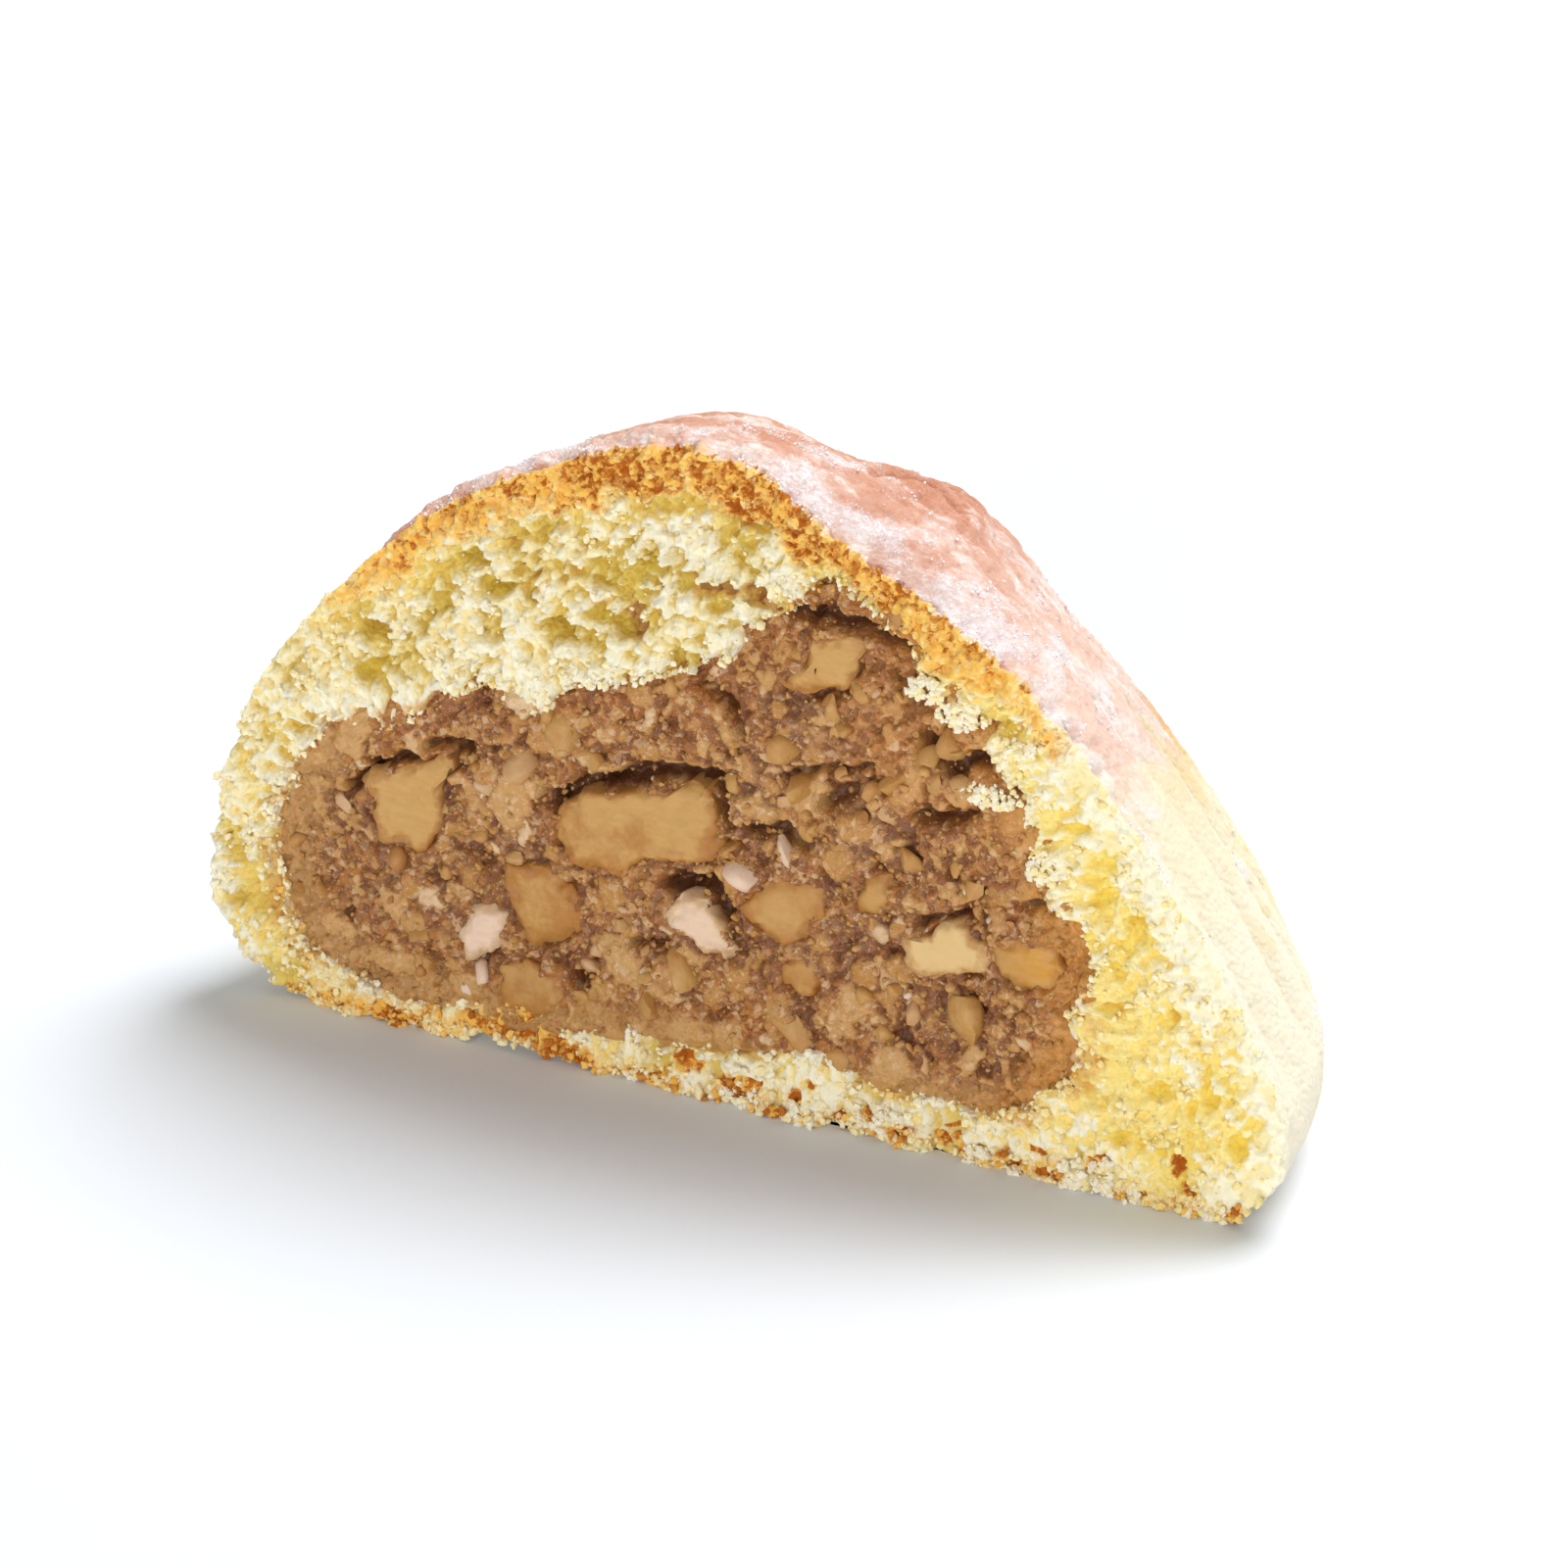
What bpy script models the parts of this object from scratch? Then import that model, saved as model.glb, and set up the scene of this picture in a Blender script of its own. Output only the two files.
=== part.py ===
"""Half of a maamoul: a domed, fluted semolina cookie cut through to show the chopped-nut filling.

The half stands on its flat base. X runs along the cut, the cut faces -Y, and Z is up. The origin is
at the bottom centre of the bounding box.
"""

import math

import bmesh
import bpy
from mathutils import Euler, Vector, noise

MM = 0.001

# The whole cookie, before it is cut
COOKIE_RADIUS = 27 * MM  # at its widest, just above the foot
COOKIE_HEIGHT = 30.6 * MM  # before the crown's swelling
WIDEST_HEIGHT = 5 * MM
FOOT_INSET = 4.8 * MM  # how far the foot curls in to the flat base
SHOULDER_POWER = 1.45  # how full the dome's shoulder is
CROWN_POWER = 1.1  # how round the dome's top is
DOME_RINGS = 15
FOOT_RINGS = 4

# Flutes pressed by the mould, and the ways in which a baked cookie is uneven
FLUTES = 35
STEPS_PER_FLUTE = 6
FLUTE_DEPTH = 0.85 * MM
FLUTE_ROUNDNESS = 0.7  # the lower, the flatter the ribs and the narrower the grooves
FLUTE_LOW, FLUTE_HIGH = 4.5 * MM, 25 * MM
LEAN = -2.1 * MM  # how far the dome has drifted along X
LEAN_FROM, LEAN_TO = 4 * MM, 18 * MM  # the heights over which it drifts
LUMP_HEIGHT = 0.55 * MM
LUMP_SIZE = 11 * MM
LUMP_SEED = Vector((4.1, 0.7, 2.3))
# Swellings and dents: where (with the cut in the plane Y = 0), how far out, and over what spread
SWELLINGS = (
    (Vector((-2, 6, 31)) * MM, 1.7 * MM, 6.0 * MM),
    (Vector((7, 8.5, 27)) * MM, 1.9 * MM, 4.5 * MM),
    (Vector((-26, 0, 10)) * MM, 0.6 * MM, 6.0 * MM),
    (Vector((-25, 0, 1)) * MM, -1.0 * MM, 4.0 * MM),
    (Vector((22, 14, 6)) * MM, -1.3 * MM, 10.0 * MM),
)
HEART = Vector((0, 0, 8)) * MM  # swellings push straight away from here

# The cut
CUT_BEHIND_AXIS = 2.3 * MM  # a little less than half the cookie is left
GAP = 0.3 * MM  # between pieces that touch

# The filling's outline on the cut, as X and height, anticlockwise from its left end
FILLING_OUTLINE = (
    (-23.6 * MM, 7.2 * MM),
    (-20.8 * MM, 2.2 * MM),
    (-11.0 * MM, 1.5 * MM),
    (1.0 * MM, 3.0 * MM),
    (12.6 * MM, 2.9 * MM),
    (17.0 * MM, 8.6 * MM),
    (13.8 * MM, 17.2 * MM),
    (8.0 * MM, 24.6 * MM),
    (2.4 * MM, 25.0 * MM),
    (-2.4 * MM, 20.4 * MM),
    (-9.4 * MM, 18.0 * MM),
    (-15.4 * MM, 16.5 * MM),
    (-21.6 * MM, 13.4 * MM),
)
FILLING_SPANS = 4  # straight spans between two points of the outline
FILLING_DEPTH = 17.5 * MM  # behind the cut
FILLING_RINGS = 7
FILLING_HEART = Vector((-3.0 * MM, 0.0, 8.0 * MM))  # what the outline closes in on behind the cut

# Nut pieces that show in the filling: X, height, width, depth, height of the piece, turn in degrees
WALNUTS = (
    (-5.7, 12.2, 8.6, 4.4, 4.0, 15),
    (-16.6, 11.0, 4.3, 3.6, 4.3, 12),
    (4.2, 22.2, 4.2, 3.0, 2.7, -4),
    (-9.9, 7.6, 3.3, 3.2, 3.6, 20),
    (-10.2, 3.5, 3.6, 3.2, 2.6, -12),
    (2.0, 9.8, 3.9, 3.2, 3.0, 20),
    (2.9, 6.6, 2.2, 2.6, 2.2, 55),
    (14.0, 10.3, 3.3, 2.8, 2.4, -15),
    (6.3, 12.3, 2.0, 2.6, 2.2, 10),
)
BLANCHED_NUTS = (
    (-13.2, 5.9, 2.2, 2.4, 2.5, 0),
    (-2.4, 8.2, 3.4, 2.6, 2.0, -38),
    (9.8, 9.9, 3.6, 2.6, 2.3, 10),
)
NUT_PROUD = 0.35 * MM  # how far a nut stands out of the cut
NUT_SUNK = 0.1  # how far its middle lies behind the cut, as a share of its depth
NUT_CORNERS = 20
NUT_BOXINESS = 0.6  # 0 is an ellipsoid and 1 a box
NUT_UNEVENNESS = 0.35
NUT_UNEVEN_DETAIL = 2.1
NUT_SEED = 5  # without a seed the noise would follow the clock
FLUSH_MARGIN = 1.0 * MM  # how far pocket cutters reach past the cut

DOUGH_COLOUR = (0.90, 0.74, 0.42, 1.0)
FILLING_COLOUR = (0.36, 0.20, 0.12, 1.0)
WALNUT_COLOUR = (0.62, 0.42, 0.18, 1.0)
BLANCHED_COLOUR = (0.80, 0.68, 0.56, 1.0)


def clear_scene():
    for old in list(bpy.data.objects):
        bpy.data.objects.remove(old, do_unlink=True)


def new_collection(name):
    collection = bpy.data.collections.new(name)
    bpy.context.scene.collection.children.link(collection)
    return collection


def food_material(name, colour, roughness):
    material = bpy.data.materials.new(name)
    material.use_nodes = True
    shader = material.node_tree.nodes["Principled BSDF"]
    shader.inputs["Base Color"].default_value = colour
    shader.inputs["Roughness"].default_value = roughness
    shader.inputs["Metallic"].default_value = 0.0
    return material


def add_object(name, bm, collection, material=None, parent=None):
    bmesh.ops.recalc_face_normals(bm, faces=bm.faces)
    mesh = bpy.data.meshes.new(name)
    bm.to_mesh(mesh)
    bm.free()
    obj = bpy.data.objects.new(name, mesh)
    obj.parent = parent
    collection.objects.link(obj)
    if material:
        mesh.materials.append(material)
        mesh.shade_smooth()
        mesh.set_sharp_from_angle(angle=math.radians(40))
    return obj


def as_cutter(obj):
    obj.hide_render = True
    obj.display_type = "WIRE"
    return obj


def cut_away(obj, cutter):
    boolean = obj.modifiers.new("cut by " + cutter.name, "BOOLEAN")
    boolean.operation = "DIFFERENCE"
    boolean.solver = "EXACT"
    boolean.object = cutter


def smooth_step(low, high, value):
    share = min(1.0, max(0.0, (value - low) / (high - low)))
    return share * share * (3 - 2 * share)


def foot_share(height):
    """Grows from 0 at the flat base to 1, so that the base stays flat."""
    return smooth_step(0.0, WIDEST_HEIGHT, height)


def dome_profile():
    """Points (radius, height) from the top of the dome to the middle of the base."""
    rise = COOKIE_HEIGHT - WIDEST_HEIGHT
    points = []
    for ring in range(DOME_RINGS + 1):
        turn = math.pi / 2 * ring / DOME_RINGS
        radius = COOKIE_RADIUS * math.sin(turn) ** CROWN_POWER
        height = WIDEST_HEIGHT + rise * max(0.0, math.cos(turn)) ** (2 / SHOULDER_POWER)
        points.append((radius, height))
    for ring in range(1, FOOT_RINGS + 1):
        turn = math.pi / 2 * ring / FOOT_RINGS
        radius = COOKIE_RADIUS - FOOT_INSET * (1 - math.cos(turn))
        points.append((radius, WIDEST_HEIGHT * (1 - math.sin(turn))))
    points.append((0.0, 0.0))
    return points


def flute_groove(angle, height):
    """How far the mould's groove pulls the side in: sharp valleys between rounded ribs."""
    rib = abs(math.sin(FLUTES * angle / 2)) ** FLUTE_ROUNDNESS
    worn = 0.75 + 0.25 * math.sin(3 * angle + 1.0)
    shown = smooth_step(FLUTE_LOW, FLUTE_LOW + 3 * MM, height)
    shown *= 1 - smooth_step(FLUTE_HIGH - 9 * MM, FLUTE_HIGH, height)
    return FLUTE_DEPTH * (1 - rib) * worn * shown


def swelling(point):
    """How far the crust has swelled or sunk at a point."""
    total = Vector((0.0, 0.0, 0.0))
    seen_from_cut = point - Vector((0, CUT_BEHIND_AXIS, 0))
    for place, amount, spread in SWELLINGS:
        away = (seen_from_cut - place).length / spread
        total += (point - HEART).normalized() * amount * math.exp(-away * away)
    return total


def bake_unevenly(point):
    """Where a point of the turned cookie ends up: fluted, leaning, lumpy and swollen."""
    radius = math.hypot(point.x, point.y)
    if point.z < 0.01 * MM:
        return point.copy()
    lump = LUMP_HEIGHT * noise.noise(point / LUMP_SIZE + LUMP_SEED)
    moved = point.copy()
    if radius > 0.01 * MM:
        groove = flute_groove(math.atan2(point.y, point.x), point.z)
        outward = Vector((point.x, point.y, 0.0)) / radius
        moved += outward * (lump * foot_share(point.z) - groove)
    moved.x += LEAN * smooth_step(LEAN_FROM, LEAN_TO, point.z)
    return moved + swelling(moved) * foot_share(point.z)


def close_cut(bm):
    """Fills the open edge that a cut leaves."""
    rim = [edge for edge in bm.edges if edge.is_boundary]
    bmesh.ops.contextual_create(bm, geom=rim)


def turned(points, steps):
    """The mesh that a profile of (radius, height) points makes when a Screw modifier turns it about Z."""
    mesh = bpy.data.meshes.new("profile")
    corners = [(radius, 0.0, height) for radius, height in points]
    mesh.from_pydata(corners, [(i, i + 1) for i in range(len(corners) - 1)], [])
    profile = bpy.data.objects.new("profile", mesh)
    bpy.context.scene.collection.objects.link(profile)
    screw = profile.modifiers.new("turn", "SCREW")
    screw.axis = "Z"
    screw.steps = screw.render_steps = steps
    screw.use_merge_vertices = True
    screw.merge_threshold = 0.001 * MM
    evaluated = profile.evaluated_get(bpy.context.evaluated_depsgraph_get())
    bm = bmesh.new()
    bm.from_mesh(evaluated.to_mesh())
    bpy.data.objects.remove(profile, do_unlink=True)
    bpy.data.meshes.remove(mesh)
    return bm


def half_cookie_mesh():
    """The cookie turned about its axis, made uneven, and cut; its cut lies in the plane Y = 0."""
    bm = turned(dome_profile(), FLUTES * STEPS_PER_FLUTE)
    bmesh.ops.remove_doubles(bm, verts=bm.verts, dist=0.001 * MM)
    for vert in bm.verts:
        vert.co = bake_unevenly(vert.co)
    bmesh.ops.bisect_plane(
        bm,
        geom=bm.verts[:] + bm.edges[:] + bm.faces[:],
        plane_co=(0, CUT_BEHIND_AXIS, 0),
        plane_no=(0, -1, 0),
        clear_outer=True,
    )
    close_cut(bm)
    bmesh.ops.translate(bm, verts=bm.verts, vec=(0, -CUT_BEHIND_AXIS, 0))
    return bm


def smooth_outline(corners, spans):
    """A closed Catmull-Rom curve through the corners, as straight spans."""
    points = []
    count = len(corners)
    for i in range(count):
        p0, p1, p2, p3 = (Vector(corners[(i + k) % count]) for k in (-1, 0, 1, 2))
        for step in range(spans):
            t = step / spans
            points.append(
                0.5
                * (
                    2 * p1
                    + (p2 - p0) * t
                    + (2 * p0 - 5 * p1 + 4 * p2 - p3) * t * t
                    + (3 * p1 - p0 - 3 * p2 + p3) * t**3
                )
            )
    return points


def filling_mesh(grow, front):
    """The filling's ball from front (a Y) to its back; grow makes it wider all round for its cavity."""
    bm = bmesh.new()
    outline = smooth_outline(FILLING_OUTLINE, FILLING_SPANS)
    count = len(outline)
    ring = []
    for i, (x, z) in enumerate(outline):
        along = outline[(i + 1) % count] - outline[i - 1]
        outward = Vector((along.y, -along.x)).normalized() * grow
        ring.append(bm.verts.new((x + outward.x, front, z + outward.y)))
    start = [vert.co.copy() for vert in ring]
    bm.faces.new(ring)
    depths = [0.0] if front < 0 else []
    depths += [math.sin(math.pi / 2 * k / FILLING_RINGS) for k in range(1, FILLING_RINGS)]
    for depth in depths:
        narrow = math.sqrt(1 - depth * depth)
        heart = Vector((FILLING_HEART.x, depth * (FILLING_DEPTH + grow), FILLING_HEART.z))
        after = []
        for co in start:
            flat = Vector((co.x, heart.y, co.z))
            after.append(bm.verts.new(heart.lerp(flat, narrow)))
        for i in range(count):
            j = (i + 1) % count
            bm.faces.new((ring[i], ring[j], after[j], after[i]))
        ring = after
    tip = bm.verts.new((FILLING_HEART.x, FILLING_DEPTH + grow, FILLING_HEART.z))
    for i in range(count):
        bm.faces.new((ring[i], ring[(i + 1) % count], tip))
    return bm


def nut_mesh(piece, seed, grow, front):
    """A chopped piece: the hull of points on a boxy ellipsoid, with its front sliced flat by the knife."""
    x, z, width, depth, height, turn = piece
    bm = bmesh.new()
    half = Vector((width, depth, height)) * MM / 2 + Vector((grow, grow, grow))
    golden = math.pi * (3 - math.sqrt(5))
    for i in range(NUT_CORNERS):
        level = 1 - 2 * (i + 0.5) / NUT_CORNERS
        around = Vector((math.cos(golden * i), math.sin(golden * i), 0.0))
        way = around * math.sqrt(1 - level * level) + Vector((0, 0, level))
        way += NUT_UNEVENNESS * noise.noise_vector(way * NUT_UNEVEN_DETAIL + Vector((seed, 0, 0)))
        boxy = max(abs(way.x), abs(way.y), abs(way.z)) ** NUT_BOXINESS
        bm.verts.new(Vector(way / boxy) * half)
    bmesh.ops.convex_hull(bm, input=bm.verts)
    loose = [vert for vert in bm.verts if not vert.link_faces]
    bmesh.ops.delete(bm, geom=loose, context="VERTS")
    bmesh.ops.rotate(bm, verts=bm.verts, matrix=Euler((0, math.radians(-turn), 0)).to_matrix())
    bmesh.ops.translate(bm, verts=bm.verts, vec=(x * MM, NUT_SUNK * depth * MM, z * MM))
    bmesh.ops.bisect_plane(
        bm,
        geom=bm.verts[:] + bm.edges[:] + bm.faces[:],
        plane_co=(0, front, 0),
        plane_no=(0, -1, 0),
        clear_outer=True,
    )
    close_cut(bm)
    return bm


def build_dough(parts, cutters, root):
    material = food_material("baked dough", DOUGH_COLOUR, 0.85)
    dough = add_object("dough", half_cookie_mesh(), parts, material, root)
    cavity_mesh = filling_mesh(GAP, -FLUSH_MARGIN)
    cavity = as_cutter(add_object("filling_cavity", cavity_mesh, cutters, parent=root))
    cut_away(dough, cavity)
    return dough


def build_filling(parts, root):
    material = food_material("nut filling", FILLING_COLOUR, 0.6)
    return add_object("filling", filling_mesh(0.0, 0.0), parts, material, root)


def build_nuts(kind, pieces, colour, filling, parts, cutters, root):
    material = food_material(kind, colour, 0.45)
    for i, piece in enumerate(pieces):
        seed = 7.3 * (i + 1) + len(kind)
        name = f"{kind}_{i + 1}"
        add_object(name, nut_mesh(piece, seed, 0.0, -NUT_PROUD), parts, material, root)
        pocket_mesh = nut_mesh(piece, seed, GAP, -FLUSH_MARGIN)
        pocket = as_cutter(add_object(name + "_pocket", pocket_mesh, cutters, parent=root))
        cut_away(filling, pocket)


def stand_on_origin(root, dough):
    """Moves the whole model so that the origin is at the bottom centre of its box."""
    bpy.context.view_layer.update()
    corners = [Vector(corner) for corner in dough.bound_box]
    lowest = Vector(map(min, zip(*corners)))
    highest = Vector(map(max, zip(*corners)))
    front = min(lowest.y, -NUT_PROUD)
    root.location = (-(lowest.x + highest.x) / 2, -(front + highest.y) / 2, -lowest.z)


def main():
    noise.seed_set(NUT_SEED)
    clear_scene()
    parts = new_collection("maamoul half")
    cutters = new_collection("cutters")
    root = bpy.data.objects.new("maamoul_half", None)
    parts.objects.link(root)
    dough = build_dough(parts, cutters, root)
    filling = build_filling(parts, root)
    build_nuts("walnut", WALNUTS, WALNUT_COLOUR, filling, parts, cutters, root)
    build_nuts("blanched_nut", BLANCHED_NUTS, BLANCHED_COLOUR, filling, parts, cutters, root)
    stand_on_origin(root, dough)


main()
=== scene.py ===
"""Halved maamoul: builds the baked dough, nut filling, nuts, crumbs and icing sugar round the solid parts.

Lengths in the code are in metres. MM turns millimetres into metres. The cut faces -Y and Z is up.

Each random pattern and each series of random draws has a seed, a whole number of no meaning. Another seed
gives another pattern of the same kind.
"""

import collections  # noqa: E402
import itertools  # noqa: E402
import math  # noqa: E402
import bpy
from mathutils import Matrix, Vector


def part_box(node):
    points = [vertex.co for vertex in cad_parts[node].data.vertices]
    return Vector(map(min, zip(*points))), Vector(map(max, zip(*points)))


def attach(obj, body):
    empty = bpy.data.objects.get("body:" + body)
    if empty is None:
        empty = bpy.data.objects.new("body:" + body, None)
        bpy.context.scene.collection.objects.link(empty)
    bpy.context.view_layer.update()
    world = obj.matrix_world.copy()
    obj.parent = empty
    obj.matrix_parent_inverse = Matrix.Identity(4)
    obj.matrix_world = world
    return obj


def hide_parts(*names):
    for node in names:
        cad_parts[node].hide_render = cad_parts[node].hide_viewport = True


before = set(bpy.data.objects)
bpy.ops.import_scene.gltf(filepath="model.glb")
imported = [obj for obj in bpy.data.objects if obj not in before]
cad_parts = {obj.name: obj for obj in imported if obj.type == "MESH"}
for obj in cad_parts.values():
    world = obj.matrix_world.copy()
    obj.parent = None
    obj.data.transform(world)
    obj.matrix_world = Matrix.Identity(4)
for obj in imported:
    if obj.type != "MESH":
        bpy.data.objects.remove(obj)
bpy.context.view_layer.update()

from types import SimpleNamespace  # noqa: E402

import bpy  # noqa: E402
import numpy as np  # noqa: E402
from bpy.props import FloatProperty, FloatVectorProperty, IntProperty, PointerProperty  # noqa: E402
from mathutils import Vector  # noqa: E402
from mathutils.bvhtree import BVHTree  # noqa: E402
from mathutils.kdtree import KDTree  # noqa: E402

bl_info = {
    "name": "Halved Maamoul",
    "version": (1, 0, 0),
    "blender": (4, 5, 0),
    "location": "3D View > Sidebar > Maamoul",
    "description": "Builds the dough, filling, nuts, crumbs and icing sugar of a halved maamoul",
    "category": "Add Mesh",
}

MM = 0.001
CUT_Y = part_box("filling")[0].y  # the plane of the cut
FAR = 99.0  # in millimetres: further than any point is from anything
SIDE_STEPS = 24  # places along one side of an outline
WALNUTS = sorted(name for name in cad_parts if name.startswith("walnut"))
BLANCHED_NUTS = sorted(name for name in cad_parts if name.startswith("blanched"))
NUTS = (*WALNUTS, *BLANCHED_NUTS)
# How brown a nut is, how smeared with paste, how far it stands out of the paste in millimetres, and
# the corners (x, z) of its cut face in millimetres
Nut = collections.namedtuple("Nut", "brown smeared proud corners")
NUT_SHAPES = {
    "walnut_1": Nut(0.22, 0.45, 0.24, (
        (-9.4, 11.5), (-8.7, 12.7), (-7.8, 13.3), (-6.4, 13.7), (-4.9, 14.2), (-3.6, 14.3), (-2.8, 14.9),
        (-1.8, 15.0), (-1.2, 14.3), (-1.1, 13.6), (-1.6, 12.8), (-1.7, 11.5), (-3.0, 11.2), (-4.9, 10.9),
        (-5.7, 10.0), (-7.1, 9.9), (-8.6, 10.2), (-9.4, 10.8),
    )),
    "walnut_2": Nut(0.10, 0.25, 0.25, (
        (-18.7, 11.5), (-17.7, 12.3), (-16.6, 12.7), (-15.7, 13.2), (-15.1, 13.7), (-14.3, 13.8),
        (-14.2, 13.1), (-14.9, 12.5), (-15.1, 11.3), (-15.0, 10.6), (-15.7, 9.0), (-16.2, 8.7),
        (-16.6, 9.1), (-18.1, 8.9), (-18.4, 10.2),
    )),
    "walnut_3": Nut(0.20, 0.30, 0.20, (
        (2.1, 20.9), (3.1, 21.9), (3.4, 22.5), (3.5, 23.2), (4.4, 23.5), (5.6, 23.9), (6.3, 23.5),
        (5.9, 22.9), (5.7, 22.2), (5.3, 21.3), (4.1, 21.0), (3.1, 20.6),
    )),
    "walnut_4": Nut(0.22, 0.75, 0.02, (
        (-11.6, 9.0), (-9.9, 9.2), (-8.4, 8.7), (-8.0, 7.5), (-8.3, 6.4), (-9.3, 5.6), (-10.4, 5.3),
        (-11.2, 6.2), (-11.7, 7.6),
    )),
    "walnut_5": Nut(0.48, 0.60, 0.02, (
        (-12.4, 4.1), (-11.0, 4.6), (-9.1, 4.2), (-8.8, 3.0), (-9.9, 1.9), (-11.4, 1.9), (-12.4, 2.7),
    )),
    "walnut_6": Nut(0.45, 0.55, 0.06, (
        (-0.1, 9.6), (0.5, 10.6), (1.2, 11.2), (2.4, 11.6), (4.1, 11.4), (4.1, 10.3), (3.2, 9.0),
        (2.0, 8.3), (0.8, 8.8),
    )),
    "walnut_7": Nut(0.40, 0.60, 0.05, (
        (2.7, 7.8), (3.8, 7.9), (4.0, 6.9), (3.6, 6.1), (2.7, 5.8), (2.0, 6.4), (2.0, 7.3),
    )),
    "walnut_8": Nut(0.35, 0.15, 0.05, (
        (12.2, 10.6), (13.6, 11.2), (15.2, 11.2), (16.0, 10.4), (15.6, 9.5), (14.4, 8.9), (13.0, 9.1),
        (12.4, 9.9),
    )),
    "walnut_9": Nut(0.60, 0.60, 0.04, (
        (5.7, 11.4), (6.1, 12.7), (7.3, 12.9), (7.5, 11.7), (6.9, 10.9), (5.8, 10.7),
    )),
    "blanched_nut_1": Nut(-0.1, -0.15, 0.32, (
        (-13.7, 6.4), (-13.0, 7.0), (-11.7, 6.8), (-11.8, 6.0), (-12.2, 5.1), (-13.0, 4.5),
        (-13.7, 4.2), (-14.1, 5.4),
    )),
    "blanched_nut_2": Nut(0.2, 0.12, 0.35, (
        (-3.6, 8.7), (-3.1, 9.3), (-2.4, 9.5), (-1.7, 9.6), (-1.3, 9.1), (-0.8, 8.4), (-0.4, 7.8),
        (-0.1, 7.2), (-0.9, 7.1), (-1.8, 7.2), (-2.5, 7.8), (-3.4, 8.2),
    )),
    "blanched_nut_3": Nut(0.95, 0.30, 0.20, (
        (8.3, 9.0), (8.1, 9.6), (8.3, 10.2), (8.8, 10.1), (9.3, 10.4), (9.8, 11.2), (10.7, 11.4),
        (11.2, 10.9), (11.5, 10.6), (12.0, 10.5), (12.3, 9.9), (12.1, 9.4), (11.2, 9.1), (10.2, 8.8),
        (9.2, 8.5), (8.6, 8.6),
    )),
}


# ---------------------------------------------------------------- repeatable patterns in space


def scramble(cell, seed):
    """A repeatable random number from 0 to 1 for each whole-number cell of two or three axes."""
    mixed = np.full(cell.shape[:-1], seed * 40503 + 977, np.uint64)
    for axis, factor in zip(range(cell.shape[-1]), (73856093, 19349663, 83492791)):
        mixed ^= cell[..., axis].astype(np.uint64) * np.uint64(factor)
    mixed &= np.uint64(0xFFFFFFFF)
    for shift, factor in ((15, 2246822519), (13, 3266489917)):
        mixed = ((mixed ^ (mixed >> np.uint64(shift))) * np.uint64(factor)) & np.uint64(0xFFFFFFFF)
    return (mixed ^ (mixed >> np.uint64(16))).astype(np.float64) / 2**32


def domes(points, size, seed, small=0.4, large=0.75, sunk=0.5):
    """How high a heap of grains stands over each point, in units of size, and the random number of
    the grain on top. Radii run from small to large, and grains lie up to sunk deep. On a plane the
    grains are boxy and turned at random."""
    scaled = points / size
    base = np.floor(scaled).astype(np.int64)
    top = np.full(len(points), -sunk)
    own = np.zeros(len(points))
    for shift in itertools.product((-1, 0, 1), repeat=points.shape[1]):
        cell = base + np.array(shift)
        middle = cell + np.stack([scramble(cell, seed + k) for k in range(points.shape[1])], axis=1)
        room = (small + (large - small) * scramble(cell, seed + 4)) ** 2
        away = scaled - middle
        if points.shape[1] == 2:
            turn = np.pi * scramble(cell, seed + 6)
            longer = 0.75 + 0.5 * scramble(cell, seed + 7)
            across = away[:, 0] * np.cos(turn) + away[:, 1] * np.sin(turn)
            along = away[:, 1] * np.cos(turn) - away[:, 0] * np.sin(turn)
            room -= (np.abs(across * longer) ** 3 + np.abs(along / longer) ** 3) ** (2 / 3)
        else:
            room -= (away**2).sum(axis=1)
        height = np.sqrt(np.maximum(room, 0)) - sunk * scramble(cell, seed + 5)
        higher = (room > 0) & (height > top)
        top = np.where(higher, height, top)
        own = np.where(higher, scramble(cell, seed + 3), own)
    return top, own


def clouds(points, size, seed, octaves=3):
    """Soft noise from 0 to 1, about 0.5 on average."""
    total = np.zeros(len(points))
    weight = 0.0
    for octave in range(octaves):
        scaled = points / size * 2**octave
        base = np.floor(scaled)
        part = scaled - base
        part = part * part * (3 - 2 * part)
        base = base.astype(np.int64)
        value = np.zeros(len(points))
        for corner in itertools.product((0, 1), repeat=points.shape[1]):
            share = np.prod(np.where(corner, part, 1 - part), axis=1)
            value += share * scramble(base + np.array(corner), seed + 17 * octave)
        total += value / 2**octave
        weight += 1 / 2**octave
    return total / weight


def wobbled(points, size, amount, seed):
    """The points moved about by soft noise, so that patterns read at them look uneven."""
    moves = [clouds(points, size, seed + 7 * k, 2) - 0.5 for k in range(points.shape[1])]
    return points + 2 * amount * np.stack(moves, axis=1)


def ramp(low, high, value):
    """Grows smoothly from 0 to 1 as value goes from low to high, or falls if high is the lower."""
    share = np.clip((value - low) / (high - low), 0.0, 1.0)
    return share * share * (3 - 2 * share)


def bell(value, middle, width):
    """1 where the value is at the middle, falling softly to 0 on both sides."""
    return np.exp(-(((value - middle) / width) ** 2))


def piled(heights, layers):
    """The layers added up, each multiplied by its height."""
    return sum(height * layer for height, layer in zip(heights, layers))


def on_the_cut(points):
    """Places on the plane of the cut: how far along it and how high."""
    return points[:, (0, 2)]


def spots_at(flat, spots):
    """1 inside any of the oval spots on the cut and 0 well outside. A spot is (x, z, width, height)
    in millimetres."""
    inside = np.zeros(len(flat))
    for x, z, width, height in spots:
        away = np.hypot((flat[:, 0] / MM - x) / width, (flat[:, 1] / MM - z) / height) * 2
        inside = np.maximum(inside, 1 - ramp(0.55, 1.25, away))
    return inside


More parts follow.
